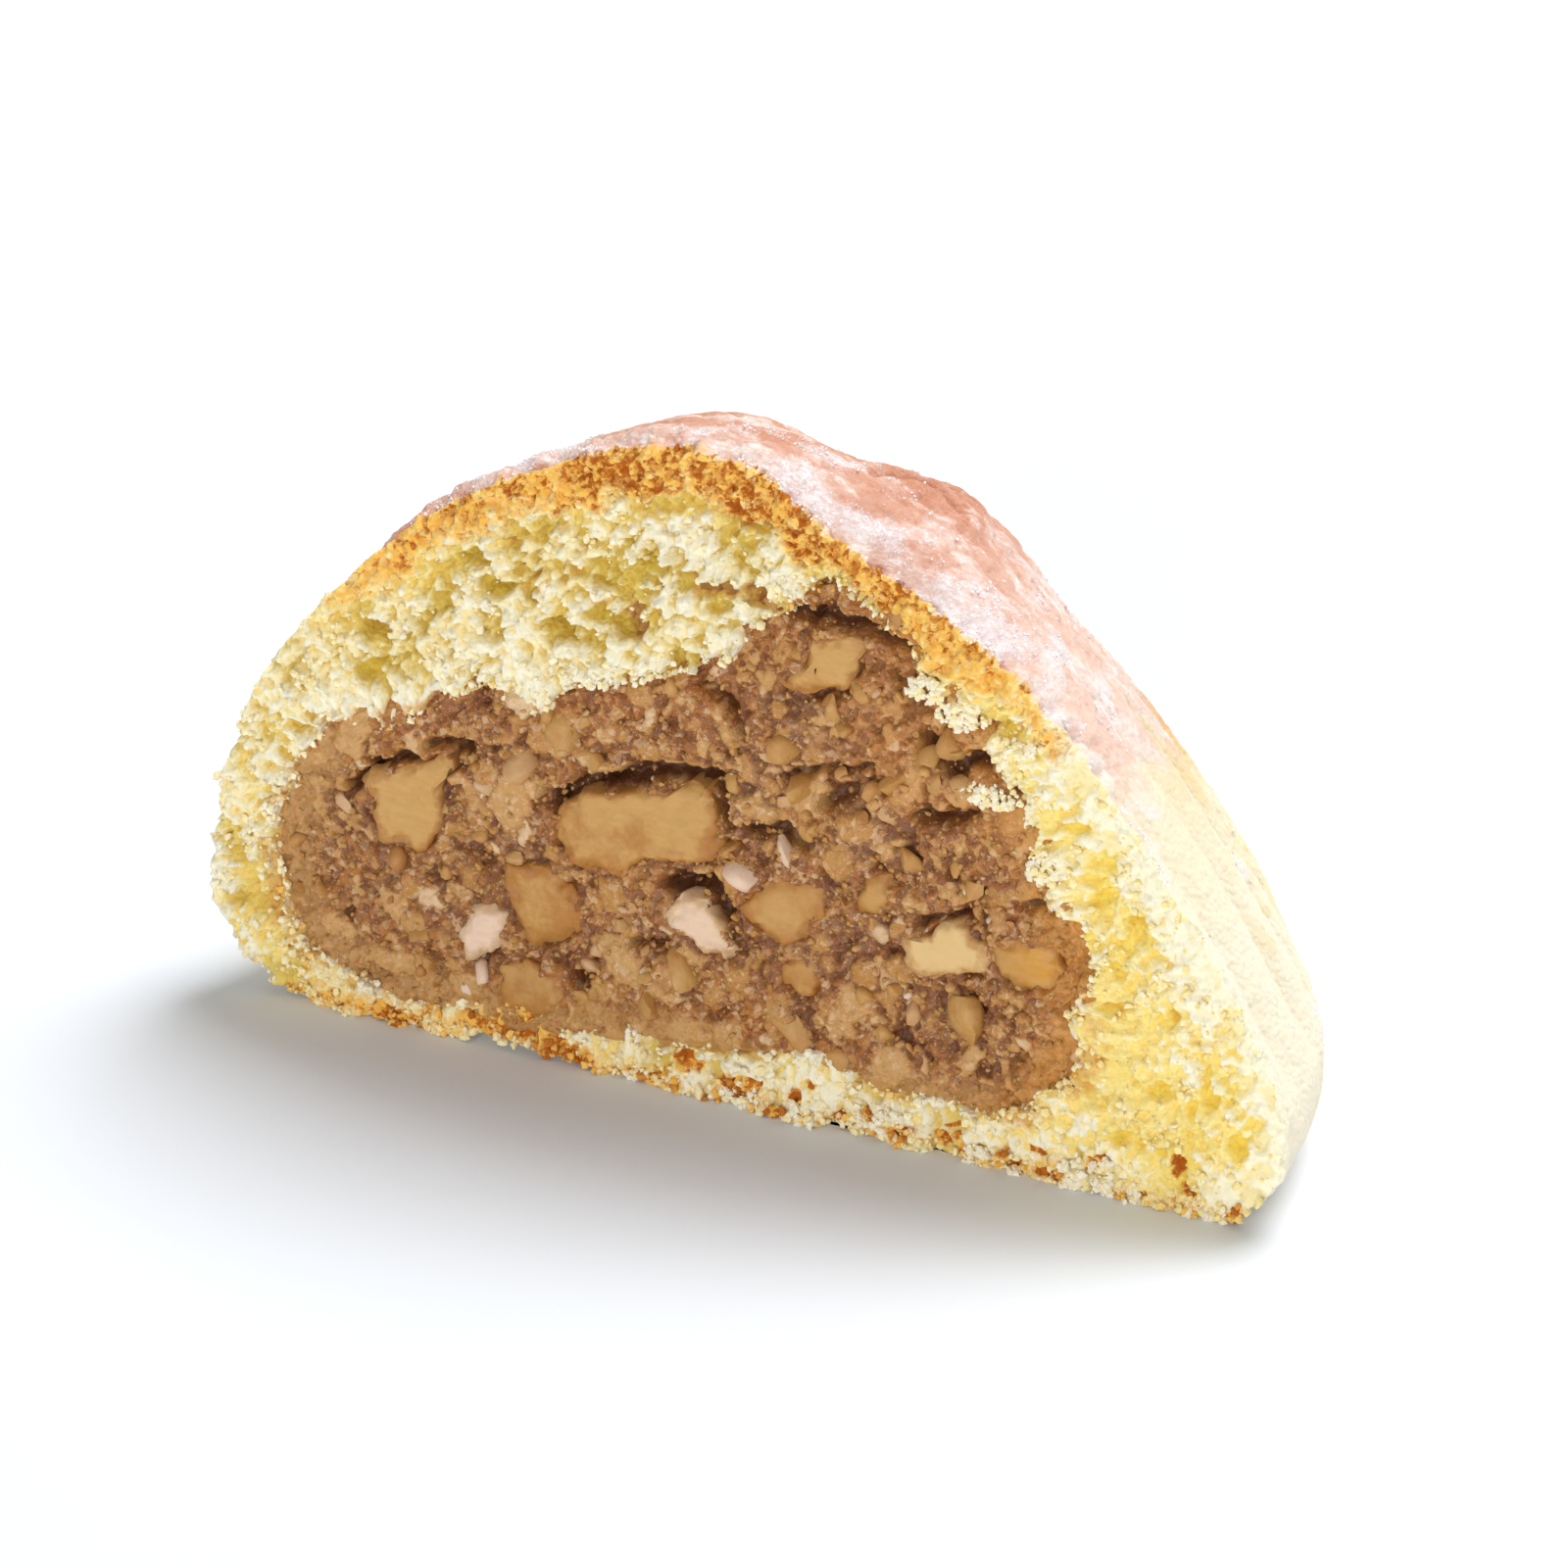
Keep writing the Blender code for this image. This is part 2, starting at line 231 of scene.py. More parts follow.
def around(flat, middle):
    """The direction and distance of each place from the middle."""
    away = flat - middle
    return np.arctan2(away[:, 1], away[:, 0]), np.hypot(away[:, 0], away[:, 1])


def reach_of(outline, middle, direction):
    """How far the outline is from the middle in each direction."""
    own, reach = around(outline, middle)
    order = np.argsort(own)
    return np.interp(direction, own[order], reach[order], period=2 * np.pi)


def straight_sides(corners):
    """Places close together along the straight sides between corners, given in millimetres."""
    ends = np.array(corners) * MM
    steps = np.linspace(0, 1, SIDE_STEPS, endpoint=False)[None, :, None]
    return (ends[:, None] * (1 - steps) + np.roll(ends, -1, axis=0)[:, None] * steps).reshape(-1, 2)


# ---------------------------------------------------------------- objects and meshes


def only(obj):
    """Selects this object alone and makes it active."""
    bpy.ops.object.select_all(action="DESELECT")
    obj.select_set(True)
    bpy.context.view_layer.objects.active = obj


def applied(obj, kind, **settings):
    """Adds a modifier with these settings and applies it."""
    only(obj)
    modifier = obj.modifiers.new(kind.lower(), kind)
    for name, value in settings.items():
        setattr(modifier, name, value)
    bpy.ops.object.modifier_apply(modifier=modifier.name)


def merged_copy(node, name):
    """A solid part's mesh as a new object, with its loose triangles joined."""
    obj = bpy.data.objects.new(name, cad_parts[node].data.copy())
    bpy.context.scene.collection.objects.link(obj)
    obj.data.materials.clear()
    only(obj)
    bpy.ops.object.mode_set(mode="EDIT")
    bpy.ops.mesh.select_all(action="SELECT")
    bpy.ops.mesh.remove_doubles(threshold=0.001 * MM)
    bpy.ops.object.mode_set(mode="OBJECT")
    return obj


def divided(obj, depth, cuts):
    """Divides the faces that lie less than this deep behind the cut into a finer grid."""
    chosen = read(obj.data.polygons, "center")[:, 1] < CUT_Y + depth
    only(obj)
    bpy.ops.object.mode_set(mode="EDIT")
    bpy.ops.mesh.select_mode(type="FACE")
    bpy.ops.mesh.select_all(action="DESELECT")
    bpy.ops.object.mode_set(mode="OBJECT")
    obj.data.polygons.foreach_set("select", chosen)
    bpy.ops.object.mode_set(mode="EDIT")
    bpy.ops.mesh.subdivide(number_cuts=cuts)
    bpy.ops.object.mode_set(mode="OBJECT")


def read(collection, name, width=3):
    """One property of every point or face, as an array."""
    flat = np.empty(len(collection) * width, np.float32)
    collection.foreach_get(name, flat)
    return flat.reshape(-1, width).astype(np.float64)


def points_of(obj):
    return read(obj.data.vertices, "co")


def normals_of(obj):
    return read(obj.data.vertices, "normal")


def move_points(obj, points):
    obj.data.vertices.foreach_set("co", points.astype(np.float32).ravel())
    obj.data.update()


def set_shares(obj, **shares):
    """Stores numbers for each point, for the materials to read."""
    attributes = obj.data.attributes
    for name, values in shares.items():
        attribute = attributes.get(name) or attributes.new(name, "FLOAT", "POINT")
        attribute.data.foreach_set("value", np.asarray(values, np.float32))


def shares_of(obj, name):
    return read(obj.data.attributes[name].data, "value", 1)[:, 0]


def blurred(obj, values, times):
    """Evens out numbers that belong to the points with those of their neighbours."""
    ends = np.empty(len(obj.data.edges) * 2, np.int32)
    obj.data.edges.foreach_get("vertices", ends)
    first, second = ends.reshape(-1, 2).T
    count = len(values)
    neighbours = np.bincount(first, minlength=count) + np.bincount(second, minlength=count)
    for _ in range(times):
        total = np.bincount(first, values[second], count) + np.bincount(second, values[first], count)
        values = (values + total / np.maximum(neighbours, 1)) / 2
    return values


def thinned(obj, chosen, left=0.08):
    """Leaves only a share of the faces round the chosen points."""
    group = obj.vertex_groups.new(name="thinned")
    group.add(np.nonzero(chosen)[0].tolist(), 1.0, "REPLACE")
    share = chosen.mean() * (1 - left)
    applied(obj, "DECIMATE", ratio=1 - share, vertex_group=group.name)
    obj.vertex_groups.clear()


def cut_outline(obj):
    """Points close together along the edge of the flat face that the knife left."""
    front = points_of(obj)[:, 1].min()
    used = collections.Counter()
    for face in obj.data.polygons:
        if face.normal.y < -0.99 and face.center.y < front + 0.01 * MM:
            used.update(face.edge_keys)
    edges = np.array([key for key, times in used.items() if times == 1])
    ends = points_of(obj)[edges]
    steps = np.linspace(0, 1, 16)[None, :, None]
    return (ends[:, :1] * (1 - steps) + ends[:, 1:] * steps).reshape(-1, 3)


def nearest_on(points, *nodes):
    """The nearest point on these solid parts to each point, and how far it is."""
    corners, faces = [], []
    for node in nodes:
        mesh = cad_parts[node].data
        faces += [[index + len(corners) for index in face.vertices] for face in mesh.polygons]
        corners += [vertex.co.copy() for vertex in mesh.vertices]
    tree = BVHTree.FromPolygons(corners, faces)
    found = [tree.find_nearest(point) for point in points.tolist()]
    return np.array([tuple(hit[0]) for hit in found]), np.array([hit[3] for hit in found])


def distance_to(points, targets):
    """How far each point is from the nearest target."""
    tree = KDTree(len(targets))
    for i, target in enumerate(targets.tolist()):
        tree.insert(target, i)
    tree.balance()
    return np.array([tree.find(point)[2] for point in points.tolist()])


def finish_piece(obj, material, slot, *nodes, crease=180):
    """Shades a piece, with edges sharper than crease degrees left sharp, gives it its material and
    hides the solid parts it stands for. The slot is not used."""
    obj.data.materials.clear()
    obj.data.materials.append(material)
    only(obj)
    if crease < 180:
        bpy.ops.object.shade_smooth_by_angle(angle=math.radians(crease))
    else:
        bpy.ops.object.shade_smooth()
    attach(obj, "root")
    if nodes:
        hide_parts(*nodes)


def small_shapes(count, roughness, seed, levels=1, flats=0):
    """A few irregular lumps about one unit across, each as points and faces. Flats are broken sides."""
    shapes = []
    random = np.random.default_rng(seed)
    for _ in range(count):
        bpy.ops.object.select_all(action="DESELECT")
        bpy.ops.mesh.primitive_ico_sphere_add(subdivisions=levels, radius=0.5)
        start = bpy.context.object
        points = points_of(start)
        points *= 1 + random.uniform(-roughness, roughness, (len(points), 1))
        ways = random.normal(size=(flats, 3))
        for way in ways / np.linalg.norm(ways, axis=1)[:, None]:
            over = np.maximum(points @ way - random.uniform(0.20, 0.36), 0)
            points -= over[:, None] * way
        faces = np.array([tuple(face.vertices) for face in start.data.polygons])
        shapes.append((points, faces))
        mesh = start.data
        bpy.data.objects.remove(start, do_unlink=True)
        bpy.data.meshes.remove(mesh)
    return shapes


def random_turns(random, count):
    """Turns in every direction alike, as matrices."""
    turns = random.normal(size=(4, count))
    w, x, y, z = turns / np.linalg.norm(turns, axis=0)
    rows = (
        (1 - 2 * (y * y + z * z), 2 * (x * y - z * w), 2 * (x * z + y * w)),
        (2 * (x * y + z * w), 1 - 2 * (x * x + z * z), 2 * (y * z - x * w)),
        (2 * (x * z - y * w), 2 * (y * z + x * w), 1 - 2 * (x * x + y * y)),
    )
    return np.moveaxis(np.array(rows), 2, 0)


def uneven(random, width, least):
    """Sizes along three axes: the width, and two random shares of it, each at least least."""
    return np.stack([width, *(width * random.uniform(least, 1, len(width)) for _ in range(2))], axis=1)


def scattered(name, shapes, random, places, sizes, tints):
    """One mesh made of a copy of a random one of the shapes at each place. Sizes are across each
    copy's own three axes, and its tint is stored on its points."""
    turns = random_turns(random, len(places))
    kinds = random.integers(len(shapes), size=len(places))
    points, faces, shares = [], [], []
    start = 0
    for kind, (corners, polygons) in enumerate(shapes):
        own = np.nonzero(kinds == kind)[0]
        copies = corners[None] * sizes[own, None, :]
        copies = np.einsum("nij,nkj->nki", turns[own], copies) + places[own, None, :]
        copies[..., 2] = np.maximum(copies[..., 2], 0)
        points.append(copies.reshape(-1, 3))
        steps = start + np.arange(len(own))[:, None, None] * len(corners)
        faces += (polygons[None] + steps).reshape(-1, polygons.shape[1]).tolist()
        shares.append(np.repeat(tints[own], len(corners)))
        start += len(own) * len(corners)
    mesh = bpy.data.meshes.new(name)
    mesh.from_pydata(np.concatenate(points).tolist(), [], faces)
    obj = bpy.data.objects.new(name, mesh)
    bpy.context.scene.collection.objects.link(obj)
    set_shares(obj, tint=np.concatenate(shares))
    return obj


def chosen_points(random, weights, count):
    """Picks points at random, by weight, each at most once."""
    weights = np.maximum(weights, 0)
    return random.choice(len(weights), size=count, replace=False, p=weights / weights.sum())


# ---------------------------------------------------------------- materials


class Signal:
    """A shader socket that can be used in sums: each sum adds its Math node."""

    def __init__(self, look, socket):
        self.look = look
        self.socket = socket

    def math(self, operation, *others, clamp=False):
        settings = {"operation": operation, "use_clamp": clamp}
        return self.look.node("ShaderNodeMath", settings, dict(enumerate((self, *others))))

    def __add__(self, other):
        return self.math("ADD", other)

    __radd__ = __add__

    def __sub__(self, other):
        return self.math("SUBTRACT", other)

    def __rsub__(self, other):
        return self.look.node("ShaderNodeMath", {"operation": "SUBTRACT"}, {0: other, 1: self})

    def __mul__(self, other):
        return self.math("MULTIPLY", other)

    __rmul__ = __mul__

    def between(self, low, high):
        """Grows smoothly from 0 to 1 as this goes from low to high, or falls if high is the lower."""
        settings = {"interpolation_type": "SMOOTHSTEP"}
        if low < high:
            return self.look.node("ShaderNodeMapRange", settings, {"Value": self, 1: low, 2: high})
        return 1 - self.look.node("ShaderNodeMapRange", settings, {"Value": self, 1: high, 2: low})

    def clamped(self):
        return self.math("ADD", 0.0, clamp=True)


class Look:
    """A material with one Principled shader, and a short way to add nodes to it."""

    def __init__(self, name, **constants):
        self.material = bpy.data.materials.new(name)
        self.material.use_nodes = True
        self.tree = self.material.node_tree
        self.shader = self.tree.nodes["Principled BSDF"]
        for socket, value in constants.items():
            self.shader.inputs[socket.replace("_", " ")].default_value = value

    def node(self, kind, settings=None, values=None, output=0):
        """Adds a node, sets it, and gives its sockets values or links. Returns the output asked for."""
        node = self.tree.nodes.new(kind)
        for name, value in (settings or {}).items():
            setattr(node, name, value)
        for key, value in (values or {}).items():
            socket = self._input(node, key)
            if isinstance(value, Signal):
                self.tree.links.new(value.socket, socket)
            else:
                socket.default_value = value
        return Signal(self, node.outputs[output])

    @staticmethod
    def _input(node, key):
        if isinstance(key, int):
            return node.inputs[key]
        for socket in node.inputs:
            if socket.identifier == key or socket.name == key:
                return socket
        raise KeyError(f"{node.bl_idname} has no input {key}")

    def place(self):
        """Object coordinates in millimetres."""
        at = self.node("ShaderNodeTexCoord", output=3)
        return self.stretched(at, (1 / MM,) * 3)

    def stretched(self, vector, scale):
        return self.node("ShaderNodeMapping", values={"Vector": vector, "Scale": scale})

    def part(self, vector, axis):
        return self.node("ShaderNodeSeparateXYZ", values={0: vector}, output=axis)

    def share(self, name):
        """A number that the mesh stores for each point."""
        return self.node("ShaderNodeAttribute", {"attribute_name": name}, output=2)

    def noise(self, vector, scale, detail=3.0, roughness=0.55):
        values = {"Vector": vector, "Scale": scale, "Detail": detail, "Roughness": roughness}
        return self.node("ShaderNodeTexNoise", values=values)

    def cells(self, vector, scale, output=0):
        """Cells in space: the distance to the nearest cell's middle, or with output 1 its colour."""
        return self.node("ShaderNodeTexVoronoi", values={"Vector": vector, "Scale": scale}, output=output)

    def mix(self, factor, first, second):
        """Mixes two colours, each a signal or a (red, green, blue)."""
        values = {"Factor_Float": factor}
        for key, colour in (("A_Color", first), ("B_Color", second)):
            values[key] = colour if isinstance(colour, Signal) else (*colour, 1.0)
        return self.node("ShaderNodeMix", {"data_type": "RGBA"}, values, output=2)

    def bump(self, height, strength, distance):
        values = {"Height": height, "Strength": strength, "Distance": distance}
        return self.node("ShaderNodeBump", values=values)

    def wire(self, **links):
        for socket, signal in links.items():
            self.tree.links.new(signal.socket, self.shader.inputs[socket.replace("_", " ")])
        return self.material


def colour_property(name, description, default):
    return FloatVectorProperty(
        name=name, description=description, default=default, size=3, min=0, max=1, subtype="COLOR"
    )


def length_property(name, description, default):
    return FloatProperty(
        name=name, description=description, default=default, min=0, unit="LENGTH", precision=5
    )


def count_property(name, description, default):
    return IntProperty(name=name, description=description, default=default, min=1)


def angle_property(name, description, degrees):
    return FloatProperty(
        name=name, description=description, default=math.radians(degrees), subtype="ANGLE"
    )


def power_property(name, description, default):
    return FloatProperty(name=name, description=description, default=default, min=0, unit="POWER")


# ---------------------------------------------------------------- the dough


class MaamoulDough(bpy.types.PropertyGroup):
    """The baked semolina dough."""

    crumb: colour_property("Crumb", "The crumb where it catches the light", (0.98, 0.84, 0.49))
    # Partly painted highlight: the material lays this colour on the highest grains as well as on the whiter
    # patches
    pale: colour_property("Pale crumb", "The whitest grains", (0.99, 0.91, 0.68))
    flour: colour_property("Floury crumbs", "The whitest loose crumbs", (1.0, 0.90, 0.70))
    whitest: colour_property("Whitest crumb", "Patches of floury crumb", (0.99, 0.91, 0.66))
    straw: colour_property("Straw", "The yellower crumb of the right side", (0.97, 0.76, 0.24))
    # Painted shade: these two colours stand for the shade in the crumb's pits and gaps, lighter on the right
    pit: colour_property("Pits", "The moist bottom of the crumb's pits", (0.62, 0.43, 0.045))
    right_shaded_pit: colour_property("Right pits", "The pits of the right side", (0.88, 0.66, 0.10))
    stain: colour_property("Stain", "Crumb stained by the filling", (0.70, 0.38, 0.11))
    soaked: colour_property("Soaked", "Crumb soaked by the filling", (0.36, 0.17, 0.04))
    # Partly painted highlight: the material lays it on the high grains of the crust
    pale_gold_and_highlight: colour_property("Light gold", "The palest grains of the crust", (0.98, 0.76, 0.32))
    gold: colour_property("Gold", "Lightly browned crust", (0.95, 0.53, 0.10))
    brown: colour_property("Brown", "Well browned crust", (0.48, 0.13, 0.008))
    # Partly the side's own tone, partly painted highlight: the front of the side is kept paler than the back
    flank: colour_property("Flank", "The pale side of the cookie", (0.97, 0.87, 0.67))
    back_flank: colour_property("Back flank", "The yellower side of the back", (0.95, 0.78, 0.42))
    honey: colour_property("Honey", "The golden patches on the ribs", (0.88, 0.62, 0.24))
    # Painted shade in the grooves between the ribs
    groove: colour_property("Grooves", "The shade between the ribs", (0.62, 0.50, 0.24))
    foot: colour_property("Foot", "The browned lower edge of the side", (0.80, 0.50, 0.30))
    rose: colour_property("Rose", "The rosy swirls of the top", (0.93, 0.68, 0.56))
    cream: colour_property("Cream", "The creamy swirls of the top", (0.96, 0.85, 0.78))
    blush: colour_property("Blush", "The browned top under the sugar", (0.62, 0.28, 0.17))
    wisp: colour_property("Wisps", "Thin bare lines in the sugar", (0.76, 0.43, 0.33))
    toast: colour_property("Toast", "The orange shoulder of the back", (0.76, 0.36, 0.09))
    crown: colour_property("Crown", "The brown crown of the back", (0.50, 0.20, 0.085))
    sugar: colour_property("Sugar", "Icing sugar dusted on the top", (0.93, 0.87, 0.88))
    grain: length_property("Grain", "The size of a grain of the crumb", 0.48 * MM)
    detail: length_property("Detail", "The mesh's spacing", 0.23 * MM)


# Pits in the crumb, sunk and painted with shade: (x, z, width, height) in millimetres
PITS = (
    (-18.4, 18.9, 2.0, 0.9), (-18.6, 17.1, 1.5, 0.7), (-15.1, 21.3, 0.7, 0.7), (-13.4, 23.5, 2.3, 0.8),
    (-12.4, 22.3, 1.5, 1.0), (-10.2, 22.4, 1.0, 0.8), (-9.2, 21.1, 1.5, 0.7), (-6.5, 22.0, 2.4, 1.2),
    (-4.6, 24.9, 1.6, 0.8), (-2.6, 24.7, 1.4, 0.9), (0.5, 25.0, 1.1, 1.1), (0.4, 28.1, 2.6, 0.5),
    (13.4, 21.4, 1.4, 0.9), (16.5, 17.2, 1.2, 0.7), (22.9, 6.3, 1.0, 2.4), (22.3, 5.0, 0.9, 0.8),
    (20.4, 5.6, 1.5, 0.8), (21.5, 2.0, 0.6, 3.0), (20.6, 2.7, 1.0, 0.6), (18.8, 2.8, 1.5, 0.6),
    (18.6, 10.9, 0.9, 0.7), (17.5, 10.4, 1.0, 0.5), (18.9, 9.0, 0.7, 0.7), (21.4, 9.4, 1.2, 0.5),
    (24.6, 3.6, 0.9, 1.6), (24.0, 8.0, 0.9, 0.6), (19.3, 13.2, 1.1, 0.7), (17.6, 14.0, 0.8, 0.8),
)
# Where the filling has stained the crumb: the same
STAINS = (
    (-1.4, 24.7, 2.6, 0.9), (0.5, 24.8, 1.3, 1.2), (-0.2, 28.2, 1.8, 0.5), (1.3, 28.1, 1.1, 0.6),
    (2.9, 27.1, 0.8, 0.6), (4.4, 25.3, 3.0, 1.4), (8.2, 24.4, 2.4, 0.9), (9.3, 22.9, 1.4, 0.8),
    (12.7, 21.3, 0.9, 0.9), (-5.4, 22.2, 1.0, 1.6), (-0.7, 22.0, 0.7, 0.3),
)
# Where the crumb is whitest: the same
WHITE_CRUMB = (
    (20.3, 1.5, 2.8, 2.2), (18.2, 2.1, 2.0, 1.2), (16.0, 1.5, 3.0, 1.2), (13.2, 1.6, 1.2, 1.8),
    (16.8, 3.2, 2.4, 1.4), (17.0, 7.4, 1.2, 1.8), (17.5, 9.3, 1.2, 1.0), (22.3, 6.8, 1.2, 1.6),
    (23.0, 2.4, 2.0, 1.6), (25.4, 6.5, 4.0, 4.6), (23.8, 10.5, 4.4, 4.4), (21.5, 15.0, 4.0, 4.0),
    (-3.0, 26.3, 5.0, 2.4), (2.2, 25.8, 2.0, 1.4), (-0.5, 23.3, 2.0, 2.0), (-3.6, 23.6, 2.6, 1.6),
    (9.0, 21.9, 1.8, 1.2), (12.2, 20.2, 1.6, 0.9),
)
# Browner places on the top: x, y, z and how wide in millimetres, and how much browner
BLUSHES = (
    (6.5, -6.3, 28.5, 2.6, 1.0), (4.6, -5.2, 28.2, 2.4, 1.2), (1.0, -7.0, 30.4, 3.4, 0.5),
    (-5.0, -8.5, 30.6, 4.0, 0.45), (9.6, -5.0, 26.5, 2.6, 0.4), (12.0, -9.5, 25.0, 1.6, 0.3),
)
# The small fold in the skin behind the crust, and the hollow before it: (x, y) in millimetres
FOLD = ((4.2, -8.4), (4.8, -7.0), (6.0, -6.3), (7.6, -6.5))
HOLLOW = (1.2, -5.2)
# How the crust is browned along the cut: (x in millimetres, thickness in millimetres, darkness)
BROWNING = (
    (-26, 0.1, 0.0), (-23, 0.5, 0.12), (-19, 1.0, 0.35), (-16, 1.7, 0.65), (-9, 2.0, 0.75),
    (-4, 2.4, 1.0), (3.5, 2.4, 1.0), (5, 1.9, 0.65), (11, 2.0, 0.58), (14.5, 1.3, 0.45),
    (17, 0.4, 0.10), (20, 0.1, 0.0),
)
# Browned places along the bottom: (x, z, width, height) in millimetres
SCORCHED = (
    (-17.4, 0.4, 3.0, 0.8), (-11.2, 0.3, 2.4, 0.7), (-8.6, 0.3, 2.4, 0.9), (-2.8, 1.1, 1.8, 0.9),
    (-0.6, 0.6, 1.6, 1.2), (0.5, 1.0, 0.9, 1.4), (2.6, 1.0, 0.8, 0.8), (3.5, 1.5, 1.2, 0.3),
    (4.8, 0.5, 0.7, 0.8), (6.6, 0.4, 1.2, 0.9), (7.8, 0.6, 1.3, 1.0), (9.8, 0.8, 0.8, 0.9),
    (10.6, 1.4, 1.3, 0.35), (11.9, 0.6, 0.45, 0.9), (13.5, 0.4, 1.2, 0.8), (14.6, 1.4, 0.9, 0.4),
    (15.2, 0.4, 1.5, 0.7), (17.3, 1.2, 0.5, 1.3), (17.9, 1.7, 1.0, 0.35), (19.6, 0.3, 1.5, 0.6),
    (21.3, 2.1, 0.4, 2.0), (22.0, 1.0, 1.2, 0.5),
)
# Heaps of pale crumbs on the edge of the filling: the same
HEAPS = (
    (9.1, 22.1, 1.9, 1.2), (10.9, 21.2, 2.4, 1.2), (12.3, 17.8, 3.2, 1.2), (13.7, 20.3, 1.6, 1.0),
    (15.0, 14.9, 1.9, 1.6),
)
# How much of the crust's edge is broken away: (x, amount) in millimetres
CHIPPED = ((1.2, 0.0), (3.2, 0.9), (5.5, 1.2), (11.0, 0.8), (16.0, 0.0))
# How high the clumps, roughness, grains and small grains of the cut stand, in millimetres
CRUMB_HEIGHTS = (0.34, 0.55, 0.66, 0.34)
CRUST_HEIGHTS = (0.24, 0.50, 0.46, 0.22)


def dough_look(settings):
    look = Look(
        "baked dough", Roughness=0.85, Subsurface_Weight=0.25, Subsurface_Scale=0.0006,
        Subsurface_Radius=(1.0, 0.85, 0.55), Specular_IOR_Level=0.3,
    )
    place = look.place()
    fine = look.noise(place, 3.4, 4)
    speck = look.noise(place, 8.0, 2)
    broad = look.noise(place, 0.16, 3)
    along = look.part(place, 0)

    # The cut's crumb: olive pits of painted shade, cream grains paler on top as painted highlight, whiter
    # and yellower patches
    relief = look.share("relief")
    tint = look.share("tint")
    level = relief + (fine - 0.5) * 0.45
    pit = look.mix(along.between(10, 18), settings.pit, settings.right_shaded_pit)
    # Painted shade: the lower a grain lies, the more it takes the pit colour
    crumb = look.mix(level.between(-0.05, 0.62), pit, settings.crumb)
    # Yellower in the low places: painted shade, added to the straw share
    yellow = look.share("straw") + (broad - 0.5) * 0.8 + (tint - 0.5) * 0.4 + (0.5 - level) * 1.1
    crumb = look.mix(yellow.between(0.0, 1.0) * 0.85, crumb, settings.straw)
    own = look.part(look.cells(place, 3.2, 1), 0)
    # Paler on the highest grains: painted highlight, added to the crumb's own whiter patches and grain tints
    pale = look.share("pale") * 0.7 + (tint + own - 1.0) * 0.6 + (level - 0.5) * 1.4 - yellow * 0.25
    crumb = look.mix(pale.between(0.05, 0.7), crumb, settings.pale)
    crumb = look.mix(look.share("pale").between(1.1, 2.0) * 0.8, crumb, settings.whitest)
    # Painted shade in the listed pits and in the gaps between clumps
    crumb = look.mix(look.share("pit") * 0.85, crumb, pit)
    stain = look.share("stain") + (fine - 0.5) * 0.8 + (0.5 - level) * 0.4
    crumb = look.mix(stain.between(0.3, 0.9) * 0.75, crumb, settings.stain)
    crumb = look.mix(stain.between(1.0, 1.6) * 0.8, crumb, settings.soaked)

    # The browned crust, grain by grain, browner in its hollows as painted shade
    gold = look.share("gold") + (speck - 0.5) * 0.5 + (own - 0.5) * 0.3
    grit = look.part(look.cells(place, 5.5, 1), 1)
    brown = look.share("brown") + (own - 0.5) * 0.9 + (grit - 0.5) * 0.5 + (fine - 0.5) * 1.8
    # Browner where the relief is low: painted shade in the crust's hollows
    brown = brown + (speck - 0.5) * 0.5 - (relief - 0.45) * 1.5
    # Palest on the high grains: partly painted highlight, partly the grains' own random tone
    light = grit.between(0.75, 0.95) * 0.5 + own.between(0.6, 0.95) * relief.between(0.3, 0.8) * 0.7
    crust = look.mix(light.clamped(), settings.gold, settings.pale_gold_and_highlight)
    crust = look.mix(brown.between(0.1, 0.95), crust, settings.brown)
    cut_colour = look.mix(gold.between(0.2, 0.75), crumb, crust)

    # The outside: pale flank with painted highlight, honey patches on the ribs, painted shade in the
    # grooves, a browned top and drifts of sugar
    height = look.part(place, 2)
    crest = look.share("crest")
    rise = height + (broad - 0.5) * 8 + (fine - 0.5) * 3 + crest * 2
    golden = look.share("golden")
    behind = look.part(place, 1) + (broad - 0.5) * 8 - along.between(4, 14) * 7 + along.between(0, -12) * 5
    behind = behind.between(-8, -3)
    # Painted highlight: the front of the side takes the paler flank colour
    flank = look.mix(behind * 0.8, settings.flank, settings.back_flank)
    outside = look.mix(rise.between(11, 19) * (golden * 0.7 + 0.15), flank, settings.honey)
    streak = look.noise(look.stretched(place, (0.45, 1.3, 1.5)), 0.9, 6, 0.68)
    swirl = look.noise(look.stretched(place, (0.5, 1.1, 1.2)), 0.42, 5, 0.62)
    veined = streak.between(0.40, 0.52) * streak.between(0.64, 0.52)
    top = look.mix(swirl.between(0.44, 0.56), settings.rose, settings.cream)
    west = along.between(17, 6)
    browned = rise.between(19, 27) * swirl.between(0.56, 0.42) * west * 0.8
    browned = browned + (look.share("blush") + (streak - 0.5) * 1.6).between(0.1, 0.9) * 0.8
    top = look.mix(browned.clamped(), top, settings.blush)
    top = look.mix(veined * (0.2 + west * 0.35), top, settings.blush)
    toasted = rise + (fine - 0.5) * 4 + (streak - 0.5) * 6
    back = look.mix(toasted.between(13, 19), flank, settings.toast)
    back = look.mix(toasted.between(19, 26), back, settings.crown)
    outside = look.mix(rise.between(16.5, 20), outside, top)
    outside = look.mix(behind * toasted.between(12, 17), outside, back)
    patch = look.noise(place, 0.45, 3)
    spread = patch.between(0.50, 0.72) * height.between(21, 9) * golden
    outside = look.mix(spread * 0.6, outside, settings.honey)
